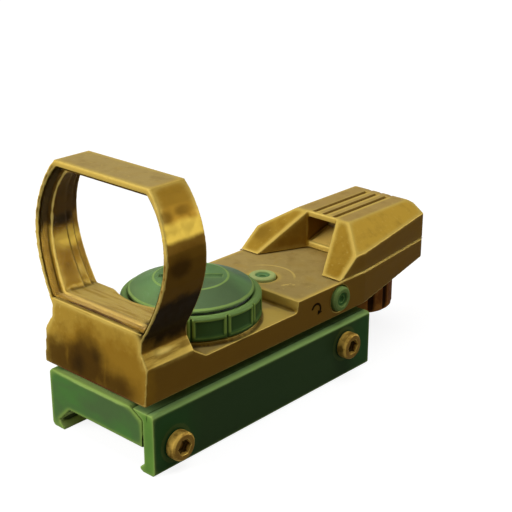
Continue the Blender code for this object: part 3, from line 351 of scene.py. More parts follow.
@contextmanager
def editing(mesh):
    """A mesh opened for changes, which are written back at the end."""
    shape = bmesh.new()
    shape.from_mesh(mesh)
    yield shape
    shape.to_mesh(mesh)
    shape.free()


def turn_outwards(mesh):
    """Turn all faces outwards, and count the edges that are open."""
    with editing(mesh) as shape:
        bmesh.ops.recalc_face_normals(shape, faces=shape.faces)
        return sum(1 for edge in shape.edges if not edge.is_manifold)


def merged_copy(node):
    """A solid's mesh with its loose triangles joined."""
    mesh = solids[node].data.copy()
    with editing(mesh) as shape:
        bmesh.ops.remove_doubles(shape, verts=shape.verts, dist=WELD)
    return mesh


print("points closer than this are joined, in mm:", WELD / MM)

# %% Make a rounded copy
SOFT_ROUNDS = 4
FLATS_KEEP = 0.4


def thin_flats(thing, keep):
    thin = thing.modifiers.new("thin_flats", "DECIMATE")
    thin.ratio = keep
    finished_mesh(thing)


def rounded_copy(name, mesh, grid, border, rounds=SOFT_ROUNDS):
    thing = new_thing(name, mesh)
    even = thing.modifiers.new("even_grid", "REMESH")
    even.mode = "VOXEL"
    even.voxel_size = grid
    soft = thing.modifiers.new("soft_edges", "SMOOTH")
    soft.factor = 0.5
    soft.iterations = rounds
    measure_wear(finished_mesh(thing), grid, border)
    thin_flats(thing, FLATS_KEEP)
    return thing


print("share of the fine grid's faces that is kept:", FLATS_KEEP)

# %% Place a piece
def place_piece(thing, body, slot, finish, *nodes):
    """Give a piece its finish, its body and the solids that it stands for."""
    thing.data.materials.clear()
    thing.data.materials.append(finish)
    thing.data.polygons.foreach_set("use_smooth", [True] * len(thing.data.polygons))
    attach(thing, body)
    if nodes:
        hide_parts(*nodes)
    print(thing.name, "triangles:", sum(len(face.vertices) - 2 for face in thing.data.polygons))


def dress(name, node, body, slot, finish, grid, border, rounds=SOFT_ROUNDS):
    """A rounded copy of one solid in its place, with the grid and the border in millimetres."""
    thing = rounded_copy(name, merged_copy(node), grid * MM, border * MM, rounds)
    place_piece(thing, body, slot, finish, node)


# %% [markdown]
# ## Effects that the finishes share
# Each effect is a node group with named inputs, built once. Worn edges, rubbed borders and corner dirt read
# the measured values and break them up with noise, and pressed in does so with the depth of a relief.
# Blotches is slow noise for uneven paint, a stain is a soft cloud at a place on the piece, used for stains
# and for painted light and shade, faces way tells what faces up or sideways and so takes dust and a painted
# sheen on top and painted shade on the right, streaks are noise drawn out along one way, a ring line is a
# thin circle, also used for the painted shadow round the knob's foot, and grain is the fine roughness of a
# cast and painted surface.
# Noise reads Object coordinates, in metres, so a scale of 300 gives marks of about three millimetres.

# %% Helpers for groups
NOISE_ROUGHNESS = 0.55


def shared_group(name, draw, **inputs):
    """A group with an input for each value given, and one output: the mask that a function draws."""
    group = bpy.data.node_groups.new(name, "ShaderNodeTree")
    for label, value in inputs.items():
        kind = "NodeSocketFloat" if isinstance(value, float) else "NodeSocketVector"
        made = group.interface.new_socket(label.replace("_", " "), in_out="INPUT", socket_type=kind)
        made.default_value = value
    group.interface.new_socket("Mask", in_out="OUTPUT", socket_type="NodeSocketFloat")
    given = add_node(group, "NodeGroupInput").outputs
    add_node(group, "NodeGroupOutput", {"Mask": draw(group, given)})
    return group


def noise_value(tree, scale, vector=None, detail=3.0):
    place = vector or object_place(tree)
    given = {"Scale": scale, "Detail": detail, "Roughness": NOISE_ROUGHNESS, "Vector": place}
    return add_node(tree, "ShaderNodeTexNoise", given).outputs["Fac"]


def broken(tree, value, given, vector=None):
    """A value with noise added, so that its border is uneven."""
    rough = math_node(tree, "SUBTRACT", noise_value(tree, given["Scale"], vector), 0.5)
    return math_node(tree, "ADD", value, math_node(tree, "MULTIPLY", rough, given["Break up"]))


print("roughness of all noise:", NOISE_ROUGHNESS)

# %% Groups that read the measured values
def wear_group(name, attribute):
    def draw(tree, given):
        value = add_node(tree, "ShaderNodeAttribute", attribute_name=attribute).outputs["Fac"]
        return ramp_between(tree, broken(tree, value, given), given["Start"], given["End"])
    return shared_group(name, draw, Start=0.2, End=0.6, Break_up=0.3, Scale=400.0)


WORN_EDGES = wear_group("worn_edges", "edge")
RUBBED_BORDERS = wear_group("rubbed_borders", "brim")
CORNER_DIRT = wear_group("corner_dirt", "hollow")
PRESSED_IN = wear_group("pressed_in", "sunk")
print("groups of wear:", [group.name for group in (WORN_EDGES, RUBBED_BORDERS, CORNER_DIRT, PRESSED_IN)])

# %% Groups of noise
FINE_SHARE = 0.35


def draw_blotches(tree, given):
    slow = noise_value(tree, given["Scale"], detail=4.0)
    return ramp_between(tree, slow, given["Low"], given["High"])


def draw_streaks(tree, given):
    drawn = vector_node(tree, "MULTIPLY", object_place(tree), given["Stretch"])
    return ramp_between(tree, noise_value(tree, given["Scale"], drawn), given["Low"], given["High"])


def draw_grain(tree, given):
    fine = math_node(tree, "MULTIPLY", noise_value(tree, given["Scale"], detail=2.0), FINE_SHARE)
    return math_node(tree, "ADD", fine, noise_value(tree, given["Dents"], detail=2.0))


BLOTCHES = shared_group("blotches", draw_blotches, Scale=120.0, Low=0.4, High=0.6)
STREAKS = shared_group("streaks", draw_streaks, Stretch=(1.0, 1.0, 1.0), Scale=500.0, Low=0.5, High=0.7)
GRAIN = shared_group("grain", draw_grain, Scale=2500.0, Dents=250.0)
print("groups of noise:", [group.name for group in (BLOTCHES, STREAKS, GRAIN)])

# %% Groups of place and direction
RING_CORE = 0.4


def draw_cloud(tree, given):
    place = object_place(tree)
    offset = vector_node(tree, "SUBTRACT", place, given["Centre"])
    reach = vector_node(tree, "LENGTH", vector_node(tree, "DIVIDE", offset, given["Size"]))
    drawn = vector_node(tree, "MULTIPLY", place, given["Stretch"])
    return ramp_between(tree, broken(tree, reach, given, drawn), given["Core"], 1.0, 1.0, 0.0)


def draw_facing(tree, given):
    normal = add_node(tree, "ShaderNodeNewGeometry").outputs["Normal"]
    facing = vector_node(tree, "DOT_PRODUCT", normal, given["Way"])
    return ramp_between(tree, broken(tree, facing, given), given["Low"], given["High"])


def draw_ring(tree, given):
    offset = vector_node(tree, "SUBTRACT", object_place(tree), given["Centre"])
    reach = vector_node(tree, "LENGTH", vector_node(tree, "MULTIPLY", offset, given["Flatten"]))
    away = math_node(tree, "ABSOLUTE", math_node(tree, "SUBTRACT", reach, given["Radius"]))
    share = math_node(tree, "DIVIDE", away, given["Half width"])
    return ramp_between(tree, broken(tree, share, given), RING_CORE, 1.0, 1.0, 0.0)


SOFT_CLOUD = shared_group("stain", draw_cloud, Centre=(0.0, 0.0, 0.0), Size=(0.005, 0.005, 0.005), Core=0.5,
                     Break_up=0.6, Scale=350.0, Stretch=(1.0, 1.0, 1.0))
FACES_WAY = shared_group("faces_way", draw_facing, Way=(0.0, 0.0, 1.0), Low=0.6, High=1.0, Break_up=0.4,
                         Scale=300.0)
RING_LINE = shared_group("ring_line", draw_ring, Centre=(0.0, 0.0, 0.0), Flatten=(1.0, 1.0, 0.0),
                         Radius=0.005, Half_width=0.0002, Break_up=0.5, Scale=600.0)
print("groups of place:", [group.name for group in (SOFT_CLOUD, FACES_WAY, RING_LINE)])

# %% [markdown]
# ## A finish in layers
# A worn finish is built as paint is: a ground of two close colours in blotches, then stains and streaks,
# then dirt in the corners, and last the bright metal or old paint that shows on the edges. One small class
# keeps the tree and the colour that lies on top so far, so that each finish reads as a list of layers.

# %% Finish builder
GRAIN_HEIGHT = 0.05 * MM
SHINIER, DULLER = 0.06, 0.08


class Finish:
    def __init__(self, name, ground, roughness, specular=0.3, tint=WHITE, metallic=0.0):
        self.material = bpy.data.materials.new(name)
        self.tree = bare_tree(self.material)
        self.shader = add_node(self.tree, "ShaderNodeBsdfPrincipled")
        add_node(self.tree, "ShaderNodeOutputMaterial", {0: self.shader.outputs[0]})
        self.write(Specular_IOR_Level=specular, Specular_Tint=tint, Metallic=metallic)
        self.top = ground
        self.rough = roughness

    def write(self, **values):
        """Write or link inputs of the shader, with a low line for each space in a name."""
        for label, value in values.items():
            set_input(self.tree, self.shader.inputs[label.replace("_", " ")], value)

    def mask(self, group, **values):
        given = {label.replace("_", " "): value for label, value in values.items()}
        return add_node(self.tree, "ShaderNodeGroup", given, node_tree=group).outputs[0]

    def cloud(self, centre, size, **values):
        """The mask of a soft cloud, for a stain or for painted light and shade, whose place and size are
        given in millimetres.
        """
        return self.mask(SOFT_CLOUD, Centre=Vector(centre) * MM, Size=Vector(size) * MM, **values)

    def layer(self, colour, amount, *masks):
        """A colour laid on top, where every one of the masks lets it show."""
        share = reduce(partial(math_node, self.tree, "MULTIPLY"), (*masks, amount))
        self.top = lay_over(self.tree, self.top, colour, share)

    def spread(self, group, colour, amount, **values):
        """One of the shared effects, in a colour."""
        self.layer(colour, amount, self.mask(group, **values))

    def clouded(self, colour, centre, size, amount, **values):
        self.layer(colour, amount, self.cloud(centre, size, **values))

    def done(self, bump=0.15, **grain):
        patchy = self.mask(BLOTCHES, Scale=600.0, Low=0.3, High=0.7)
        gloss = ramp_between(self.tree, patchy, 0.0, 1.0, self.rough - SHINIER, self.rough + DULLER)
        uneven = {"Strength": bump, "Distance": GRAIN_HEIGHT, "Height": self.mask(GRAIN, **grain)}
        lift = add_node(self.tree, "ShaderNodeBump", uneven)
        self.write(Base_Color=self.top, Roughness=gloss, Normal=lift.outputs[0])
        return self.material


print("steps of a finish:", [name for name in vars(Finish) if not name.startswith("_")])

# %% [markdown]
# ## Gold paint
# The casting and the housing wear an old gold paint: tan with dust and a painted sheen on faces that look up,
# browner in stains that ran down, darker with painted shade on faces that look right and nearly black with it
# low on the hood's right leg, with a painted highlight in a band along the hood's right side, and bright
# yellow where hands and cloths have rubbed the edges. The stains, with the painted shade and highlights among
# them, sit at places that were read off the picture, so they are kept as a table: colour, centre and size in
# millimetres, amount, and how much of the stain is solid.

# %% Colours of the gold paint
GOLD = rgb(168, 134, 50)
GOLD_OCHRE = rgb(146, 109, 30)
GOLD_TAN = rgb(176, 148, 86)
GOLD_DUST_AND_SHEEN = rgb(171, 150, 94)
GOLD_SHADE = rgb(114, 82, 26)
GOLD_UMBER = rgb(104, 74, 20)
GOLD_BROWN = rgb(66, 44, 12)
GOLD_BLACK = rgb(34, 24, 10)
GOLD_PAINTED_HIGHLIGHT = rgb(208, 176, 72)
GOLD_RUBBED_AND_LIT = rgb(204, 174, 84)
GOLD_PALE = rgb(222, 194, 104)
RED_GAP_SHADE = rgb(84, 40, 16)
print("gold, linear:", [round(part, 3) for part in GOLD])

# %% Stains of the gold paint
HOOD_STAINS_AND_PAINTED_LIGHT = [
    (GOLD_UMBER, (14.4, -24.6, 39.2), (3.0, 2.0, 1.2), 0.60, 0.30),
    (GOLD_UMBER, (14.4, -20.8, 39.6), (3.0, 2.4, 1.1), 0.60, 0.30),
    # A painted highlight in a band along the hood's right side.
    (GOLD_PAINTED_HIGHLIGHT, (15.2, -22.0, 36.9), (3.0, 14.0, 1.9), 0.95, 0.50),
    # Painted shade, down to nearly black, on the lower part of the hood's right leg.
    (GOLD_UMBER, (14.4, -22.0, 26.6), (4.6, 14.0, 8.8), 0.95, 0.80),
    (GOLD_BROWN, (15.4, -23.4, 31.4), (2.4, 3.2, 2.4), 0.90, 0.30),
    (GOLD_BLACK, (12.2, -22.0, 22.4), (4.4, 13.0, 6.4), 0.95, 0.60),
]

INNER_STAINS_AND_PAINTED_LIGHT = [
    # Painted shade on the upper inner wall, which looks down, and a painted highlight below it.
    (GOLD_BROWN, (-13.5, -22.0, 37.2), (4.4, 9.0, 7.4), 0.92, 0.75),
    (GOLD_BLACK, (-14.6, -21.6, 31.8), (2.0, 3.4, 1.7), 0.90, 0.40),
    (GOLD_PAINTED_HIGHLIGHT, (-14.2, -21.0, 28.2), (2.8, 6.0, 2.6), 0.65, 0.30),
    (GOLD_UMBER, (-12.4, -22.6, 23.6), (2.2, 2.0, 2.2), 0.60, 0.30),
    (GOLD_RUBBED_AND_LIT, (-11.6, -20.0, 23.0), (2.0, 1.4, 1.6), 0.50, 0.20),
]

FRONT_SMEARS = [
    (GOLD_BROWN, (-8.0, -28.4, 10.4), (6.5, 4.0, 5.0), 0.85, 0.40),
    (GOLD_BROWN, (-1.4, -28.2, 11.4), (6.4, 4.0, 6.2), 0.92, 0.40),
    (GOLD_BROWN, (5.2, -28.4, 9.4), (6.6, 4.0, 4.6), 0.85, 0.25),
    (GOLD_BLACK, (-3.6, -28.4, 10.6), (2.4, 4.0, 2.8), 0.60, 0.10),
    (GOLD_BLACK, (0.6, -28.4, 13.4), (1.6, 4.0, 2.0), 0.45, 0.10),
]


def clouds_from_table(paint, table, *where):
    for colour, centre, size, amount, core in table:
        cloud = paint.cloud(centre, size, Core=core, Break_up=0.5)
        paint.layer(colour, amount, cloud, *where)


print("stains listed:", len(HOOD_STAINS_AND_PAINTED_LIGHT) + len(INNER_STAINS_AND_PAINTED_LIGHT) + len(FRONT_SMEARS))

# %% Wear, painted light and painted shade by place on the casting
BAND_STEPS_MM = (-21.0, -19.2)
KNOB_CENTRE = (0.0, -6.0 * MM, 0.0)


def sill_wear_and_light(paint):
    """The sill below the lens, lit by painted light where the hood's shadow falls and wiped along its length,
    and the sloping shoulder at its end.
    """
    sill = paint.cloud((0.0, -22.5, 20.5), (14.0, 8.0, 1.4), Core=0.8)
    paint.layer(GOLD_RUBBED_AND_LIT, 0.6, sill)
    wiped = paint.mask(STREAKS, Stretch=(0.12, 1.0, 1.0), Scale=1100.0, Low=0.46, High=0.66)
    paint.layer(GOLD_OCHRE, 0.6, wiped, sill)
    shoulder = paint.cloud((11.9, -22.0, 15.6), (2.6, 9.0, 1.8), Core=0.5)
    paint.layer(GOLD_RUBBED_AND_LIT, 0.6, shoulder)
    drawn = paint.mask(STREAKS, Stretch=(1.0, 0.15, 1.0), Scale=900.0, Low=0.45, High=0.65)
    paint.layer(GOLD_UMBER, 0.7, drawn, shoulder)
    paint.clouded(GOLD_PALE, (11.6, -22.8, 16.3), (1.2, 2.6, 0.6), 0.9, Core=0.2)


def line_bands(paint, inner_wall):
    """Painted shade lines at the steps of the hood's inner wall, and the plain front of the sill."""
    for y in BAND_STEPS_MM:
        step = paint.cloud((-13.0, y, 28.0), (6.0, 0.34, 14.0), Core=0.4, Break_up=0.2)
        paint.layer(GOLD_BROWN, 0.8, step, inner_wall)
    paint.clouded(rgb(168, 140, 76), (0.0, -25.2, 20.5), (12.0, 1.2, 0.7), 0.85, Core=0.6, Break_up=0.3)


def smear_front(paint):
    """Brown that ran down the front of the block, broken into upright streaks."""
    paint.clouded(rgb(138, 102, 28), (3.0, -28.4, 11.0), (17.0, 4.0, 8.4), 0.85, Core=0.6)
    paint.clouded(GOLD_UMBER, (9.0, -28.4, 8.8), (5.5, 4.0, 4.6), 0.55, Core=0.3, Break_up=0.6)
    runs = paint.mask(STREAKS, Stretch=(1.0, 1.0, 0.3), Scale=420.0, Low=0.05, High=0.48)
    clouds_from_table(paint, FRONT_SMEARS, runs)


def mark_deck(paint):
    """A worn arc and small scratches beside the elevation adjuster, and a painted shadow round the knob's
    foot.
    """
    arc = paint.mask(RING_LINE, Centre=Vector((0.0, 12.25, 0.0)) * MM, Radius=5.9 * MM, Half_width=0.3 * MM)
    paint.layer(GOLD_PALE, 0.5, arc, paint.cloud((0.0, 18.0, 14.9), (7.0, 5.0, 1.0)))
    ticks = paint.mask(STREAKS, Stretch=(0.3, 0.3, 1.0), Scale=1400.0, Low=0.58, High=0.68)
    paint.layer(GOLD_PALE, 0.7, ticks, paint.cloud((6.5, 13.5, 14.9), (4.5, 5.0, 1.0)))
    # Painted shadow round the knob's foot.
    foot = paint.mask(RING_LINE, Centre=Vector(KNOB_CENTRE), Radius=12.1 * MM, Half_width=0.5 * MM,
                      Break_up=0.2)
    paint.layer(GOLD_BLACK, 0.7, foot, paint.cloud((0.0, -6.0, 12.9), (20.0, 20.0, 0.9)))


print("places of wear: sill, inner bands, front and deck")

# %% Ground, smudges and rubbed edges
def gold_ground(name, ground):
    return Finish(name, ground, 0.42, specular=0.0, metallic=0.14)


def smudge_gold(paint):
    """Thin brown smudges and small light flecks over the whole paint."""
    paint.spread(BLOTCHES, GOLD_UMBER, 0.35, Scale=420.0, Low=0.46, High=0.84)
    paint.spread(BLOTCHES, GOLD_PALE, 0.25, Scale=1300.0, Low=0.56, High=0.80)


def rub_borders(paint, amount, *where):
    """A soft pale border beside each edge, or only beside those in one place."""
    border = paint.mask(RUBBED_BORDERS, Start=0.05, End=0.45, Break_up=0.12, Scale=700.0)
    paint.layer(GOLD_RUBBED_AND_LIT, amount, border, *where)


def rub_edges(paint, amount, dirt):
    """Dirt in the grooves, and a bright line on each edge."""
    paint.spread(CORNER_DIRT, GOLD_BROWN, dirt, Start=0.20, End=0.60, Break_up=0.25)
    paint.spread(WORN_EDGES, GOLD_PALE, amount, Start=0.22, End=0.60, Break_up=0.5, Scale=600.0)


print("gold rubbed to, linear:", [round(part, 3) for part in GOLD_RUBBED_AND_LIT])

# %% Gold finish of the casting
RIGHT = (1.0, 0.0, 0.0)


def gold_casting_finish():
    paint = gold_ground("gold_casting", GOLD)
    paint.spread(BLOTCHES, GOLD_OCHRE, 0.6, Scale=220.0, Low=0.48, High=0.66)
    # Faces that look up get dust and a painted tan sheen.
    paint.spread(FACES_WAY, GOLD_DUST_AND_SHEEN, 0.75, Low=0.80, High=1.0, Break_up=0.35, Scale=260.0)
    smudge_gold(paint)
    rub_borders(paint, 0.7)
    # Painted light on the floor and the step beside the knob, where the knob's shadow falls.
    paint.clouded(GOLD_RUBBED_AND_LIT, (10.5, 0.0, 12.9), (6.0, 9.0, 0.9), 0.9, Core=0.6)
    paint.clouded(GOLD_RUBBED_AND_LIT, (9.0, 7.9, 14.0), (6.0, 0.8, 1.2), 0.7, Core=0.6)
    # Painted shade: faces that look right are darker. The strap's upper part, which looks up, is laid lighter
    # again.
    paint.spread(FACES_WAY, GOLD_SHADE, 0.95, Way=RIGHT, Low=0.80, High=0.97, Break_up=0.10)
    strap = paint.cloud((13.8, -22.0, 40.4), (6.0, 16.0, 4.0), Core=0.7, Break_up=0.3)
    paint.layer(rgb(166, 126, 40), 0.8, strap)
    rub_borders(paint, 0.7, strap)
    sill_wear_and_light(paint)
    smear_front(paint)
    clouds_from_table(paint, HOOD_STAINS_AND_PAINTED_LIGHT)
    inner_wall = paint.mask(FACES_WAY, Way=RIGHT, Low=-0.3, High=0.1, Break_up=0.0)
    clouds_from_table(paint, INNER_STAINS_AND_PAINTED_LIGHT, inner_wall)
    rub_edges(paint, 0.5, dirt=0.65)
    line_bands(paint, inner_wall)
    mark_deck(paint)
    # A red-brown painted shade along the casting's bottom front edge, where it meets the base.
    paint.clouded(RED_GAP_SHADE, (0.0, -28.6, 8.45), (17.0, 3.0, 0.6), 0.9, Core=0.6, Break_up=0.3)
    return paint.done(bump=0.25)


CASTING_PAINT = gold_casting_finish()
print("finish made:", CASTING_PAINT.name)

# %% Gold finish of the housing
ROOF_GROOVES_MM = (-2.45, 0.0, 2.45)


def line_roof(paint):
    """Painted shade in the three grooves of the roof, and a painted highlight on the ridges between them."""
    ends = paint.cloud((0.0, 38.2, 22.4), (50.0, 8.6, 50.0), Core=0.94, Break_up=0.0)
    for x in ROOF_GROOVES_MM:
        ridge = paint.cloud((x + 0.75, 39.1, 22.5), (0.5, 40.0, 1.5), Core=0.3, Break_up=0.2)
        paint.layer(GOLD_RUBBED_AND_LIT, 0.8, ridge, ends)
        groove = paint.cloud((x - 0.1, 39.1, 22.3), (0.5, 40.0, 1.5), Core=0.7, Break_up=0.1)
        paint.layer(rgb(84, 58, 22), 0.85, groove, ends)
    paint.clouded(GOLD_TAN, (0.0, 48.0, 22.2), (6.0, 1.4, 1.4), 0.9, Core=0.8)


def gold_cover_finish():
    paint = gold_ground("gold_cover", rgb(158, 124, 42))
    paint.spread(BLOTCHES, rgb(138, 102, 26), 0.7, Scale=200.0, Low=0.42, High=0.66)
    # Painted light on the slope, which looks up and to the right.
    paint.spread(FACES_WAY, rgb(204, 164, 62), 0.85, Way=(0.6, 0.0, 0.8), Low=0.90, High=0.98, Break_up=0.04)
    # Faces that look up get dust and a painted tan sheen.
    paint.spread(FACES_WAY, GOLD_TAN, 0.8, Low=0.88, High=1.0, Break_up=0.2, Scale=260.0)
    # Painted light on the floor of the emitter's mouth, which lies in the roof's shade.
    paint.clouded(rgb(238, 200, 100), (0.0, 33.0, 17.2), (4.6, 6.5, 2.0), 0.95, Core=0.75)
    smudge_gold(paint)
    paint.clouded(GOLD_UMBER, (-10.2, 24.5, 17.6), (3.6, 5.0, 2.6), 0.55, Core=0.2)
    rub_borders(paint, 0.85)
    # Painted shade: faces that look right are darker.
    paint.spread(FACES_WAY, GOLD_SHADE, 0.90, Way=RIGHT, Low=0.80, High=0.97, Break_up=0.08)
    rub_edges(paint, 0.55, dirt=0.6)
    line_roof(paint)
    return paint.done(bump=0.22)


COVER_PAINT = gold_cover_finish()
print("finish made:", COVER_PAINT.name)

# %% [markdown]
# ## Casting and housing
# On the real hood the sill below the lens stands higher than in the solid, and its back edge curves round the
# knob. Remesh joins closed shapes that overlap, so a wedge laid on the sill becomes one with the casting.

# %% Wedge that raises the sill
SEAT_Z, SILL_FRONT_Z, SILL_BACK_Z = 20.2 * MM, 20.8 * MM, 20.1 * MM
WEDGE_FOOT_Z = 17.8 * MM
WEDGE_HALF = 10.65 * MM
WEDGE_STEPS = 30
SEAT_DEPTH = 2.2 * MM
HOOD_BACK_Y = -17.7 * MM
FRONT_FOOT_Y, FRONT_FOOT_Z, FRONT_LEAN = -28.6 * MM, 8.5 * MM, 0.10
KNOB_ROUND = 13.2 * MM


def front_face_at(height):
    """How far forward the leaning front face is at a height."""
    return FRONT_FOOT_Y + FRONT_LEAN * (height - FRONT_FOOT_Z)


def wedge_profile(x):
    back = min(HOOD_BACK_Y, KNOB_CENTRE[1] - math.sqrt(KNOB_ROUND ** 2 - x ** 2))
    seat = front_face_at(SEAT_Z)
    return [(front_face_at(WEDGE_FOOT_Z), WEDGE_FOOT_Z), (seat, SEAT_Z), (seat + SEAT_DEPTH, SEAT_Z),
            (front_face_at(SILL_FRONT_Z) + SEAT_DEPTH, SILL_FRONT_Z), (back, SILL_BACK_Z),
            (back, WEDGE_FOOT_Z)]


def casting_with_sill():
    mesh = merged_copy("main_body")
    shape = bmesh.new()
    rows = []
    for step in range(WEDGE_STEPS + 1):
        x = WEDGE_HALF * (2 * step / WEDGE_STEPS - 1)
        rows.append([shape.verts.new((x, y, z)) for y, z in wedge_profile(x)])
    for before, after in zip(rows, rows[1:]):
        for place in range(len(before)):
            shape.faces.new((before[place - 1], before[place], after[place], after[place - 1]))
    shape.faces.new(rows[0])
    shape.faces.new(rows[-1])
    bmesh.ops.recalc_face_normals(shape, faces=shape.faces)
    shape.from_mesh(mesh)
    shape.to_mesh(mesh)
    shape.free()
    return mesh


print("sill raised to mm:", SILL_FRONT_Z / MM)

# %% Casting and emitter housing
casting = rounded_copy("hood_casting", casting_with_sill(), 0.20 * MM, 0.85 * MM)
place_piece(casting, "casting", "gold_casting", CASTING_PAINT, "main_body")
dress("emitter_housing", "emitter_cover", "casting", "gold_cover", COVER_PAINT, 0.17, 0.85)

# %% [markdown]
# ## Seam and mark
# Between the housing and the casting runs a thin bright line where both have been rubbed to metal. It could
# be painted, but the gap is narrower than the rounding of its edges, so a fine bead is laid in it: a curve
# with a round section, made a mesh. Beside the windage adjuster a curved arrow tells which way to turn.

# %% Gold seam
SEAM_PATH_MM = [(12.4, 19.4), (12.4, 27.0), (9.95, 48.9), (-9.95, 48.9), (-12.4, 27.0), (-12.4, 19.4)]
SEAM_HEIGHT = 14.97 * MM
SEAM_RADIUS = 0.12 * MM
SEAM_INSET = 0.05 * MM
SEAM_BACK_MM = 48.0


def seam_finish():
    paint = gold_ground("gold_seam", GOLD_PALE)
    paint.spread(BLOTCHES, GOLD, 0.6, Scale=500.0, Low=0.42, High=0.62)
    return paint.done(bump=0.05)


def seam_bead():
    curve = bpy.data.curves.new("gold_seam", "CURVE")
    curve.dimensions = "3D"
    curve.bevel_depth = SEAM_RADIUS
    curve.bevel_resolution = 2
    curve.use_fill_caps = True
    line = curve.splines.new("POLY")
    line.points.add(len(SEAM_PATH_MM) - 1)
    for point, (x, y) in zip(line.points, SEAM_PATH_MM):
        inward = -SEAM_INSET if x > 0 else SEAM_INSET
        back = SEAM_RADIUS if y > SEAM_BACK_MM else 0.0
        point.co = (x * MM + inward, y * MM - back, SEAM_HEIGHT, 1.0)
    drawn = new_thing("seam_curve", curve)
    mesh = mesh_of(drawn)
    bpy.data.objects.remove(drawn)
    return new_thing("gold_seam", mesh)


place_piece(seam_bead(), "casting", "gold_cover", seam_finish())

# %% Arrow mark
MARK_CENTRE_MM = (12.4, 12.9, 11.7)
MARK_RADII_MM = (0.95, 1.35)
MARK_START, MARK_SWEEP, MARK_STEPS = 165, 190, 20
MARK_BARB_MM = 0.45
MARK_TIP_TURN = 0.8
MARK_THICK = 0.08 * MM


def on_ring(radius, angle):
    return (radius * math.cos(angle), radius * math.sin(angle))


def mark_finish():
    paint = Finish("arrow_mark", GOLD_BLACK, 0.6, specular=0.0)
    paint.spread(BLOTCHES, GOLD_BROWN, 0.7, Scale=900.0, Low=0.45, High=0.65)
    return paint.done(bump=0.1)


def arrow_mark():
    """Part of a ring with a point at its end, flat on the casting's right-hand side."""
    inner, outer = MARK_RADII_MM
    turns = [math.radians(MARK_START - MARK_SWEEP * i / MARK_STEPS) for i in range(MARK_STEPS + 1)]
    flat = [on_ring(radius, angle) for angle in turns for radius in (inner, outer)]
    faces = [(2 * i, 2 * i + 1, 2 * i + 3, 2 * i + 2) for i in range(MARK_STEPS)]
    flat += [on_ring(inner - MARK_BARB_MM, turns[-1]), on_ring(outer + MARK_BARB_MM, turns[-1]),
             on_ring((inner + outer) / 2, turns[-1] - MARK_TIP_TURN)]
    count = len(flat)
    faces.append((count - 3, count - 5, count - 4, count - 2, count - 1))
    x, y, z = MARK_CENTRE_MM
    mesh = bpy.data.meshes.new("arrow_mark")
    mesh.from_pydata([(x * MM, (y + u) * MM, (z + v) * MM) for u, v in flat], [], faces)
    thing = new_thing("arrow_mark", mesh)
    body = thing.modifiers.new("thickness", "SOLIDIFY")
    body.thickness = MARK_THICK
    body.offset = 0.0
    print("arrow open edges:", turn_outwards(finished_mesh(thing)))
    return thing


place_piece(arrow_mark(), "casting", "gold_casting", mark_finish())

# %% [markdown]
# ## Green paint
# Base, jaw and knob are green. The paint has gone yellow and thin on the edges, and the jaw's long outer
# face, which looks right, is painted a darker bottle green as shade.

# %% Green ground and wear
GREEN_RUBBED = rgb(140, 168, 80)
GREEN_DIRT_AND_SHADE = rgb(18, 30, 12)
GREEN_GLEAM = (0.7, 1.0, 0.5, 1.0)


def green_ground(name, ground, second, roughness=0.45):
    paint = Finish(name, ground, roughness, specular=0.01, tint=GREEN_GLEAM, metallic=0.06)
    paint.spread(BLOTCHES, second, 0.8, Scale=110.0, Low=0.40, High=0.64)
    paint.spread(STREAKS, second, 0.4, Stretch=(0.25, 1.0, 1.0), Scale=500.0, Low=0.50, High=0.70)
    return paint


def rub_green(paint, rubbed=GREEN_RUBBED, borders=0.6, edges=0.7, dirt=0.85):
    paint.spread(RUBBED_BORDERS, rubbed, borders, Start=0.10, End=0.60, Break_up=0.15, Scale=700.0)
    paint.spread(CORNER_DIRT, GREEN_DIRT_AND_SHADE, dirt, Start=0.15, End=0.55, Break_up=0.25)
    paint.spread(WORN_EDGES, rubbed, edges, Start=0.25, End=0.65, Break_up=0.35)


print("green rubbed to:", [round(part, 2) for part in GREEN_RUBBED])

# %% Rail base and clamp plate
SCREW_PLACES_MM = ((-23.0, 0.35), (20.3, 2.7))
PLATE_ENDS_MM = (-25.0, 27.0)


def base_finish():
    paint = green_ground("green_base", rgb(78, 120, 58), rgb(80, 102, 62))
    # Painted light on the inner faces of the left foot, which lie in shade.
    inner = paint.mask(FACES_WAY, Way=RIGHT, Low=0.3, High=0.6, Break_up=0.1)
    foot = paint.cloud((-9.4, -20.0, -2.4), (3.0, 14.0, 2.4), Core=0.8)
    paint.layer(rgb(200, 224, 132), 0.9, inner, foot)
    # Painted light on the base's top strip in front, under the casting's overhang.
    paint.clouded(rgb(176, 204, 116), (-1.0, -27.6, 6.9), (14.0, 1.6, 0.8), 0.9, Core=0.6)
    rub_green(paint)
    # Painted shade in the gap between the base and the jaw.
    paint.clouded(GREEN_DIRT_AND_SHADE, (10.75, -28.0, 1.4), (0.4, 2.0, 1.9), 0.95, Core=0.8, Break_up=0.1)
    return paint.done(bump=0.2)


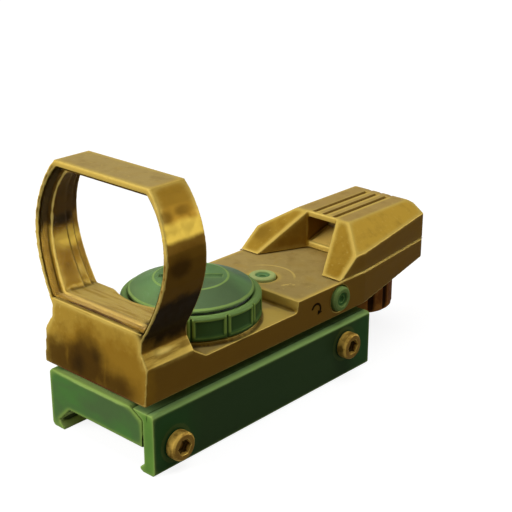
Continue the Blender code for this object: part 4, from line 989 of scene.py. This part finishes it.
def plate_finish():
    paint = green_ground("green_plate", rgb(104, 144, 60), rgb(92, 130, 58))
    # Painted shade: the faces that look right are darker.
    side = paint.mask(FACES_WAY, Way=RIGHT, Low=0.7, High=0.95, Break_up=0.05)
    paint.layer(rgb(50, 68, 40), 0.96, side)
    for y in PLATE_ENDS_MM:
        end = paint.cloud((13.0, y, 2.0), (4.0, 9.0, 10.0), Core=0.2, Break_up=0.3)
        paint.layer(rgb(48, 88, 42), 0.75, end, side)
    # Painted light on the faces that look up, in the shade of the casting's overhang.
    paint.spread(FACES_WAY, rgb(124, 156, 98), 0.85, Low=0.3, High=0.6, Break_up=0.1)
    for y, z in SCREW_PLACES_MM:
        paint.spread(RING_LINE, rgb(84, 100, 52), 0.6, Centre=Vector((0.0, y, z)) * MM,
                     Flatten=(0.0, 1.0, 1.0), Radius=3.0 * MM, Half_width=0.5 * MM)
    # A painted shade line along the jaw's top, as from a groove.
    paint.clouded(GREEN_DIRT_AND_SHADE, (11.75, 0.0, 7.0), (0.24, 80.0, 2.0), 0.6, Core=0.6, Break_up=0.3)
    rub_green(paint, rgb(150, 178, 92), borders=0.4, edges=0.9)
    return paint.done(bump=0.2)


dress("rail_block", "rail_base", "casting", "green_base", base_finish(), 0.25, 0.75)
dress("clamp_jaw", "clamp_plate", "clamp", "green_plate", plate_finish(), 0.2, 0.6)

# %% Battery cap and adjusters
CAP_LINES_MM = ((6.4, 0.28), (10.6, 0.22))


def cap_finish():
    paint = green_ground("green_cap", rgb(100, 126, 78), rgb(102, 138, 86))
    # Painted shade on the cap's right-hand part, away from the light.
    paint.clouded(rgb(84, 102, 70), (7.5, -9.5, 19.2), (10.0, 10.0, 4.0), 0.85, Core=0.5, Break_up=0.3)
    paint.clouded(rgb(92, 112, 92), (1.0, 3.0, 19.2), (12.0, 3.5, 4.0), 0.7, Core=0.4, Break_up=0.3)
    for radius, half in CAP_LINES_MM:
        paint.spread(RING_LINE, rgb(140, 168, 88), 0.85, Centre=Vector(KNOB_CENTRE), Radius=radius * MM,
                     Half_width=half * MM, Break_up=0.6)
    rub_green(paint, rgb(134, 162, 84), borders=0.10, edges=0.65, dirt=0.1)
    return paint.done(bump=0.2)


def adjuster_finish():
    paint = green_ground("green_adjuster", rgb(178, 188, 122), rgb(160, 174, 106))
    # Painted shade on the windage adjuster, which looks right.
    paint.clouded(rgb(98, 124, 60), (13.3, 19.6, 11.8), (2.6, 3.4, 3.4), 0.9, Core=0.9, Break_up=0.1)
    paint.clouded(rgb(84, 130, 80), (0.0, 12.25, 15.4), (1.5, 1.5, 1.5), 0.9, Core=0.85, Break_up=0.1)
    # Painted shade in the windage adjuster's dish.
    paint.clouded(rgb(56, 98, 46), (13.3, 19.6, 11.8), (1.5, 1.4, 1.4), 0.9, Core=0.85, Break_up=0.1)
    rub_green(paint, rgb(154, 180, 104), borders=0.2, edges=0.35, dirt=0.15)
    return paint.done(bump=0.2)


dress("battery_lid", "battery_cap", "cap", "green_cap", cap_finish(), 0.12, 0.4, rounds=2)
ADJUSTER_PAINT = adjuster_finish()
for way in ("elevation", "windage"):
    dress(f"{way}_adjuster", f"{way}_screw", way, "green_adjuster", ADJUSTER_PAINT, 0.09, 0.3, rounds=2)

# %% [markdown]
# ## Clamp screws
# Two brass socket screws draw the jaw in. Grime sits in the socket and round the head, and the metal shows
# through in part, so the finish is a little metallic.

# %% Brass finish and clamp screws
def brass_finish():
    metal = Finish("brass_screw", rgb(206, 168, 78), 0.42, specular=0.0, metallic=0.2)
    metal.spread(BLOTCHES, rgb(118, 86, 32), 0.75, Scale=650.0, Low=0.44, High=0.64)
    # Painted shade: the faces that look right are darker.
    metal.spread(FACES_WAY, rgb(126, 94, 38), 0.9, Way=RIGHT, Low=0.70, High=0.92, Break_up=0.3)
    metal.spread(CORNER_DIRT, rgb(64, 46, 18), 0.90, Start=0.12, End=0.45, Break_up=0.3)
    metal.spread(WORN_EDGES, rgb(206, 172, 80), 0.6, Start=0.25, End=0.6, Break_up=0.5)
    return metal.done(bump=0.3, Dents=600.0)


BRASS = brass_finish()
for end in ("front", "rear"):
    dress(f"jaw_screw_{end}", f"clamp_screw_{end}", f"{end}_screw", "brass_screw", BRASS, 0.1, 0.35, rounds=2)

# %% [markdown]
# ## Turned pieces with a repeated relief
# The knob and the reticle selector are turned, and their grips repeat twelve times. One twelfth is made as a
# grid along the turned outline, pressed in where the grip says, and Geometry Nodes sets twelve of them round
# the axis and welds them. How deep each point was pressed is kept as the value "sunk" for the paint.

# %% A tree that repeats a part round an axis
REPEAT_SOCKETS = {"Part": "Geometry", "Count": "Int", "Weld": "Float", "Finish": "Material"}


def repeat_round_tree():
    tree = bpy.data.node_groups.new("repeat_round", "GeometryNodeTree")
    made = {label: tree.interface.new_socket(label, in_out="INPUT", socket_type=f"NodeSocket{kind}")
            for label, kind in REPEAT_SOCKETS.items()}
    tree.interface.new_socket("Ring", in_out="OUTPUT", socket_type="NodeSocketGeometry")
    given = add_node(tree, "NodeGroupInput").outputs
    points = add_node(tree, "GeometryNodePoints", {"Count": given["Count"]})
    step = math_node(tree, "DIVIDE", 2 * math.pi, given["Count"])
    index = add_node(tree, "GeometryNodeInputIndex").outputs[0]
    turn = add_node(tree, "ShaderNodeCombineXYZ", {"Z": math_node(tree, "MULTIPLY", index, step)})
    spin = add_node(tree, "FunctionNodeEulerToRotation", {0: turn.outputs[0]})
    ring = add_node(tree, "GeometryNodeInstanceOnPoints",
                    {"Points": points.outputs[0], "Instance": given["Part"], "Rotation": spin.outputs[0]})
    solid = add_node(tree, "GeometryNodeRealizeInstances", {0: ring.outputs[0]})
    weld = add_node(tree, "GeometryNodeMergeByDistance",
                    {"Geometry": solid.outputs[0], "Distance": given["Weld"]})
    paint = add_node(tree, "GeometryNodeSetMaterial",
                     {"Geometry": weld.outputs[0], "Material": given["Finish"]})
    add_node(tree, "NodeGroupOutput", {0: paint.outputs[0]})
    return tree, {label: socket.identifier for label, socket in made.items()}


REPEAT_ROUND, REPEAT_INPUTS = repeat_round_tree()
print("repeat tree inputs:", REPEAT_INPUTS)

# %% Outlines with soft corners
CORNER_SHARE = 0.45
CORNER_STEPS = (0.0, 0.25, 0.5, 0.75, 1.0)


def softened(outline, radius, closed):
    """An outline whose corners are rounded off by a few points."""
    points = []
    count = len(outline)
    for index, corner in enumerate(outline):
        if not closed and index in (0, count - 1):
            points.append(corner)
            continue
        here = Vector(corner)
        before = Vector(outline[index - 1]) - here
        after = Vector(outline[(index + 1) % count]) - here
        reach = min(radius, CORNER_SHARE * before.length, CORNER_SHARE * after.length)
        start = here + before.normalized() * reach
        end = here + after.normalized() * reach
        for t in CORNER_STEPS:
            points.append(tuple((1 - t) ** 2 * start + 2 * t * (1 - t) * here + t ** 2 * end))
    return points


def stepped(outline, longest, closed):
    """The outline with extra points, so that no step is longer than a limit."""
    points = []
    ends = outline[1:] + (outline[:1] if closed else [])
    for start, end in zip(outline, ends):
        count = max(1, math.ceil((Vector(end) - Vector(start)).length / longest))
        for index in range(count):
            points.append(tuple(Vector(start).lerp(Vector(end), index / count)))
    return points if closed else points + [outline[-1]]


def fine_outline(outline_mm, size, closed):
    """Radii and heights in millimetres, made an outline with soft corners and short steps."""
    corners = [(radius * MM, height * MM) for radius, height in outline_mm]
    return stepped(softened(corners, size, closed), size, closed)


print("points of a softened square:", len(softened([(0, 0), (1, 0), (1, 1), (0, 1)], 0.1, True)))

# %% One part of a ring
GRIPS = 12


def pressed_part(name, outline, closed, steps, relief, deepest):
    """One part of a turned piece, pressed in by relief(angle, radius, height)."""
    sweep = 2 * math.pi / GRIPS
    points, sunk = [], []
    for index in range(steps + 1):
        angle = (index / steps - 0.5) * sweep
        for radius, height in outline:
            depth = relief(angle, radius, height)
            points.append((*on_ring(radius - depth, angle), height))
            sunk.append(depth / deepest)
    width = len(outline)
    faces = []
    for row in range(steps):
        for place in range(width if closed else width - 1):
            after = (place + 1) % width
            faces.append((row * width + place, row * width + after, (row + 1) * width + after,
                          (row + 1) * width + place))
    mesh = bpy.data.meshes.new(name)
    mesh.from_pydata(points, [], faces)
    store_value(mesh, "sunk", np.array(sunk))
    return mesh


print("parts in each ring:", GRIPS)

# %% The whole ring
RING_WELD = 0.004 * MM
RING_BORDER = 0.3 * MM
RING_KEEP = 0.5


def ring_of_parts(name, part, centre, finish, grid):
    thing = new_thing(name, part)
    ring = thing.modifiers.new("repeat_round", "NODES")
    ring.node_group = REPEAT_ROUND
    for label, value in (("Count", GRIPS), ("Weld", RING_WELD), ("Finish", finish)):
        ring[REPEAT_INPUTS[label]] = value
    made = finished_mesh(thing)
    print(name, "open edges:", turn_outwards(made))
    made.transform(Matrix.Translation(Vector(centre)))
    measure_wear(made, grid, RING_BORDER)
    thin_flats(thing, RING_KEEP)
    return thing


print("parts are welded within mm:", RING_WELD / MM)

# %% [markdown]
# ## Brightness knob
# The ring has twelve sunken panels with raised frames and a slot between neighbours. The cup and the hub
# below, which hold the battery, belong to the same turned piece. The panels keep their dark green, and
# the frames and the ring's top are rubbed light.

# %% Knob shape
KNOB_OUTLINE_MM = [(11.05, 18.0), (11.75, 18.0), (12.15, 17.6), (12.15, 13.75), (10.95, 13.75), (10.95, 11.9),
                   (4.3, 11.9), (4.3, 9.15), (3.6, 9.15), (3.6, 8.65), (4.1, 8.65), (4.1, 8.6), (2.0, 8.6),
                   (2.0, 12.5), (10.25, 12.5), (10.25, 17.2)]
GRIP_STEPS = 44
KNOB_RADIUS, GRIP_INNER, GRIP_TOP = 12.15 * MM, 12.0 * MM, 17.75 * MM
KNOB_FINE = 0.16 * MM
PANEL_HALF = 2.5 * MM
PANEL_LOW, PANEL_HIGH = 14.3 * MM, 17.2 * MM
PANEL_DEPTH = 0.35 * MM
SLOT_HALF = 0.16 * MM
SLOT_DEPTH = 0.42 * MM
PANEL_LEAD, PANEL_SLOPE = 0.06 * MM, 0.22 * MM
SLOT_LEAD, SLOT_SLOPE = 0.05 * MM, 0.14 * MM


def eased(value, width):
    share = min(1.0, max(0.0, value / width))
    return share * share * (3 - 2 * share)


def knob_relief(angle, radius, height):
    if radius < GRIP_INNER or height > GRIP_TOP:
        return 0.0
    arc = abs(angle) * KNOB_RADIUS
    inside = min(PANEL_HALF - arc, height - PANEL_LOW, PANEL_HIGH - height)
    panel = PANEL_DEPTH * eased(inside + PANEL_LEAD, PANEL_SLOPE)
    slot_edge = math.pi / GRIPS * KNOB_RADIUS - SLOT_HALF
    slot = SLOT_DEPTH * eased(arc - slot_edge + SLOT_LEAD, SLOT_SLOPE)
    return max(panel, slot)


print("panel depth in mm:", PANEL_DEPTH / MM)

# %% Knob finish and ring
def knob_finish():
    paint = green_ground("green_knob", rgb(86, 114, 50), rgb(74, 100, 44))
    paint.clouded(rgb(118, 146, 82), (0.0, -6.0, 18.0), (40.0, 40.0, 0.8), 0.85, Core=0.5, Break_up=0.3)
    paint.spread(CORNER_DIRT, GREEN_DIRT_AND_SHADE, 0.7, Start=0.25, End=0.7, Break_up=0.25)
    paint.spread(WORN_EDGES, rgb(146, 172, 82), 0.75, Start=0.18, End=0.55, Break_up=0.5)
    paint.clouded(rgb(52, 76, 32), (0.0, -6.0, 13.6), (40.0, 40.0, 1.3), 0.85, Core=0.5, Break_up=0.2)
    paint.spread(PRESSED_IN, rgb(64, 90, 46), 0.95, Start=0.3, End=0.75, Break_up=0.2)
    paint.spread(PRESSED_IN, rgb(24, 42, 16), 0.9, Start=0.88, End=0.98, Break_up=0.05)
    return paint.done(bump=0.2)


outline = fine_outline(KNOB_OUTLINE_MM, KNOB_FINE, True)
part = pressed_part("grip_part", outline, True, GRIP_STEPS, knob_relief, SLOT_DEPTH)
KNOB_PAINT = knob_finish()
knob = ring_of_parts("grip_knob", part, KNOB_CENTRE, KNOB_PAINT, 0.15 * MM)
place_piece(knob, "knob", "green_knob", KNOB_PAINT, "brightness_knob")

# %% [markdown]
# ## Reticle selector
# The fluted knob under the tail chooses the aiming mark. Twelve round flutes give the fingers a hold.

# %% Selector
SELECTOR_CENTRE = (0.0, 41.5 * MM, 0.0)
SELECTOR_OUTLINE_MM = [(0.0, 13.85), (2.4, 13.85), (2.4, 8.5), (6.3, 8.5), (6.8, 8.0), (6.8, 1.15),
                       (6.3, 0.65), (0.0, 0.65)]
FLUTE_STEPS = 28
SELECTOR_RADIUS, FLUTE_INNER = 6.8 * MM, 5.0 * MM
SELECTOR_FINE = 0.3 * MM
FLUTE_ROUND, FLUTE_OFFSET = 0.9 * MM, 0.35 * MM
FLUTE_DEPTH = 0.55 * MM


def selector_relief(angle, radius, height):
    if radius < FLUTE_INNER:
        return 0.0
    arc = angle * SELECTOR_RADIUS
    depth = math.sqrt(max(0.0, FLUTE_ROUND ** 2 - arc ** 2)) - FLUTE_OFFSET
    return max(0.0, depth - (SELECTOR_RADIUS - radius))


def selector_finish():
    paint = Finish("brown_selector", rgb(168, 110, 48), 0.42, specular=0.0, metallic=0.1)
    paint.spread(BLOTCHES, rgb(120, 70, 30), 0.9, Scale=250.0, Low=0.42, High=0.62)
    paint.spread(PRESSED_IN, rgb(28, 16, 9), 0.9, Start=0.2, End=0.8, Break_up=0.2)
    paint.spread(WORN_EDGES, rgb(186, 120, 66), 0.8, Start=0.3, End=0.75, Break_up=0.4)
    return paint.done(bump=0.2)


outline = fine_outline(SELECTOR_OUTLINE_MM, SELECTOR_FINE, False)
part = pressed_part("flute_part", outline, False, FLUTE_STEPS, selector_relief, FLUTE_DEPTH)
SELECTOR_PAINT = selector_finish()
selector = ring_of_parts("reticle_knob", part, SELECTOR_CENTRE, SELECTOR_PAINT, 0.2 * MM)
place_piece(selector, "selector", "brown_selector", SELECTOR_PAINT, "reticle_selector")

# %% [markdown]
# ## Glass
# The lens is a clear slab in the front of the hood. Its coated faces reflect little and bend little, and its
# ground edge is painted brown like the hood, with painted shade darkest at the upper left. A small amber
# window closes the emitter's mouth.

# %% Glass finishes
GLASS_ROUGH, GLASS_GLEAM = 0.03, 0.1


def glass_finish(name, tint, bend, clear=1.0):
    glass = Finish(name, tint, GLASS_ROUGH, specular=GLASS_GLEAM)
    smear = glass.mask(BLOTCHES, Scale=200.0, Low=0.3, High=0.8)
    gloss = ramp_between(glass.tree, smear, 0.0, 1.0, 0.0, GLASS_ROUGH)
    glass.write(Transmission_Weight=clear, IOR=bend, Base_Color=tint, Roughness=gloss)
    return glass.material


def lens_edge_finish():
    paint = Finish("lens_edge", rgb(146, 114, 44), 0.6, specular=0.0)
    paint.spread(BLOTCHES, rgb(122, 92, 36), 0.8, Scale=300.0, Low=0.45, High=0.65)
    # Painted shade on the edge at the upper left.
    paint.clouded(rgb(34, 25, 10), (-14.0, -26.0, 37.5), (8.0, 9.0, 8.5), 0.95, Core=0.7)
    paint.clouded(rgb(166, 136, 74), (0.0, -25.4, 20.4), (14.0, 1.3, 0.6), 0.9, Core=0.7, Break_up=0.2)
    paint.clouded(rgb(78, 54, 32), (0.5, -27.0, 20.4), (10.5, 0.9, 1.2), 0.9, Core=0.6)
    return paint.done(bump=0.1)


print("glass roughness up to:", GLASS_ROUGH)

# %% Lens and window
LENS_GAP = 0.25 * MM
FACE_ON = 0.9
LENS_TINT, WINDOW_TINT = (0.99, 0.99, 0.985, 1.0), (0.62, 0.46, 0.18, 1.0)


def lens_above_seat():
    """The lens without the strip that the raised sill covers."""
    mesh = merged_copy("reflector_lens")
    with editing(mesh) as shape:
        everything = shape.verts[:] + shape.edges[:] + shape.faces[:]
        cut = bmesh.ops.bisect_plane(shape, geom=everything, plane_co=(0.0, 0.0, SEAT_Z + LENS_GAP),
                                     plane_no=(0.0, 0.0, 1.0), clear_inner=True)
        rim = [item for item in cut["geom_cut"] if isinstance(item, bmesh.types.BMEdge)]
        bmesh.ops.holes_fill(shape, edges=rim)
    print("lens open edges:", turn_outwards(mesh))
    return mesh


def clear_lens():
    mesh = lens_above_seat()
    thing = new_thing("clear_lens", mesh)
    place_piece(thing, "casting", "lens_glass", glass_finish("lens_glass", LENS_TINT, bend=1.05),
                "reflector_lens")
    mesh.materials.append(lens_edge_finish())
    for face in mesh.polygons:
        face.use_smooth = False
        face.material_index = 0 if abs(face.normal.y) > FACE_ON else 1


def repaint(node, finish):
    """A solid that keeps its shape and gets a better finish."""
    for place in solids[node].material_slots:
        place.material = finish


clear_lens()
repaint("emitter_window", glass_finish("window_glass", WINDOW_TINT, bend=1.3, clear=0.3))
print("glass set")

# %% [markdown]
# ## Inner pieces
# What sits inside or underneath keeps its solid. Bright metal, board, plastic and rubber each get a plain
# finish of two close colours. The spring under the arm, which gives way when the arm tilts on the real sight,
# is a piece of its own with a mesh of its own.

# %% Finishes of the inner pieces
def inner_finish(name, ground, second, roughness, metallic=0.0, scale=400.0):
    finish = Finish(name, rgb(*ground), roughness, metallic=metallic)
    finish.spread(BLOTCHES, rgb(*second), 0.8, Scale=scale, Low=0.4, High=0.65)
    return finish.done(bump=0.1, Scale=4000.0, Dents=800.0)


INNER_LOOKS = {
    "steel_screw": ((150, 150, 152), (120, 120, 124), 0.38, 0.9),
    "steel_spring": ((190, 190, 190), (160, 160, 164), 0.30, 1.0),
    "steel_lid": ((168, 168, 168), (140, 140, 142), 0.40, 0.9),
    "steel_drum": ((120, 120, 122), (90, 90, 94), 0.42, 0.9),
    "cell_steel": ((205, 205, 206), (180, 180, 184), 0.25, 1.0),
    "contact_brass": ((200, 166, 92), (176, 140, 70), 0.32, 1.0),
    "seal_rubber": ((52, 68, 36), (42, 56, 30), 0.75),
    "circuit_board": ((22, 96, 52), (16, 80, 42), 0.45, 0.0, 900.0),
    "arm_plastic": ((36, 36, 38), (48, 48, 50), 0.5),
    "led_plastic": ((176, 32, 26), (200, 52, 40), 0.2),
}
INNER = {name: inner_finish(name, *look) for name, look in INNER_LOOKS.items()}
for row in frame["record"]["subparts"]:
    if row["material_slot"] in INNER:
        repaint(row["node"], INNER[row["material_slot"]])
print("inner finishes:", sorted(INNER))


def arm_spring():
    """The spring below the arm's nose, copied as a piece with a mesh of its own; on the real sight it gives
    way as the arm tilts.
    """
    spring = new_thing("nose_spring", merged_copy("arm_spring"))
    place_piece(spring, "casting", "steel_spring", INNER["steel_spring"], "arm_spring")
    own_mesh(spring)


arm_spring()

# %% [markdown]
# ## Size
# The box of the solids is printed in millimetres when they are loaded. The dressed
# object must stay in the box of its solids.
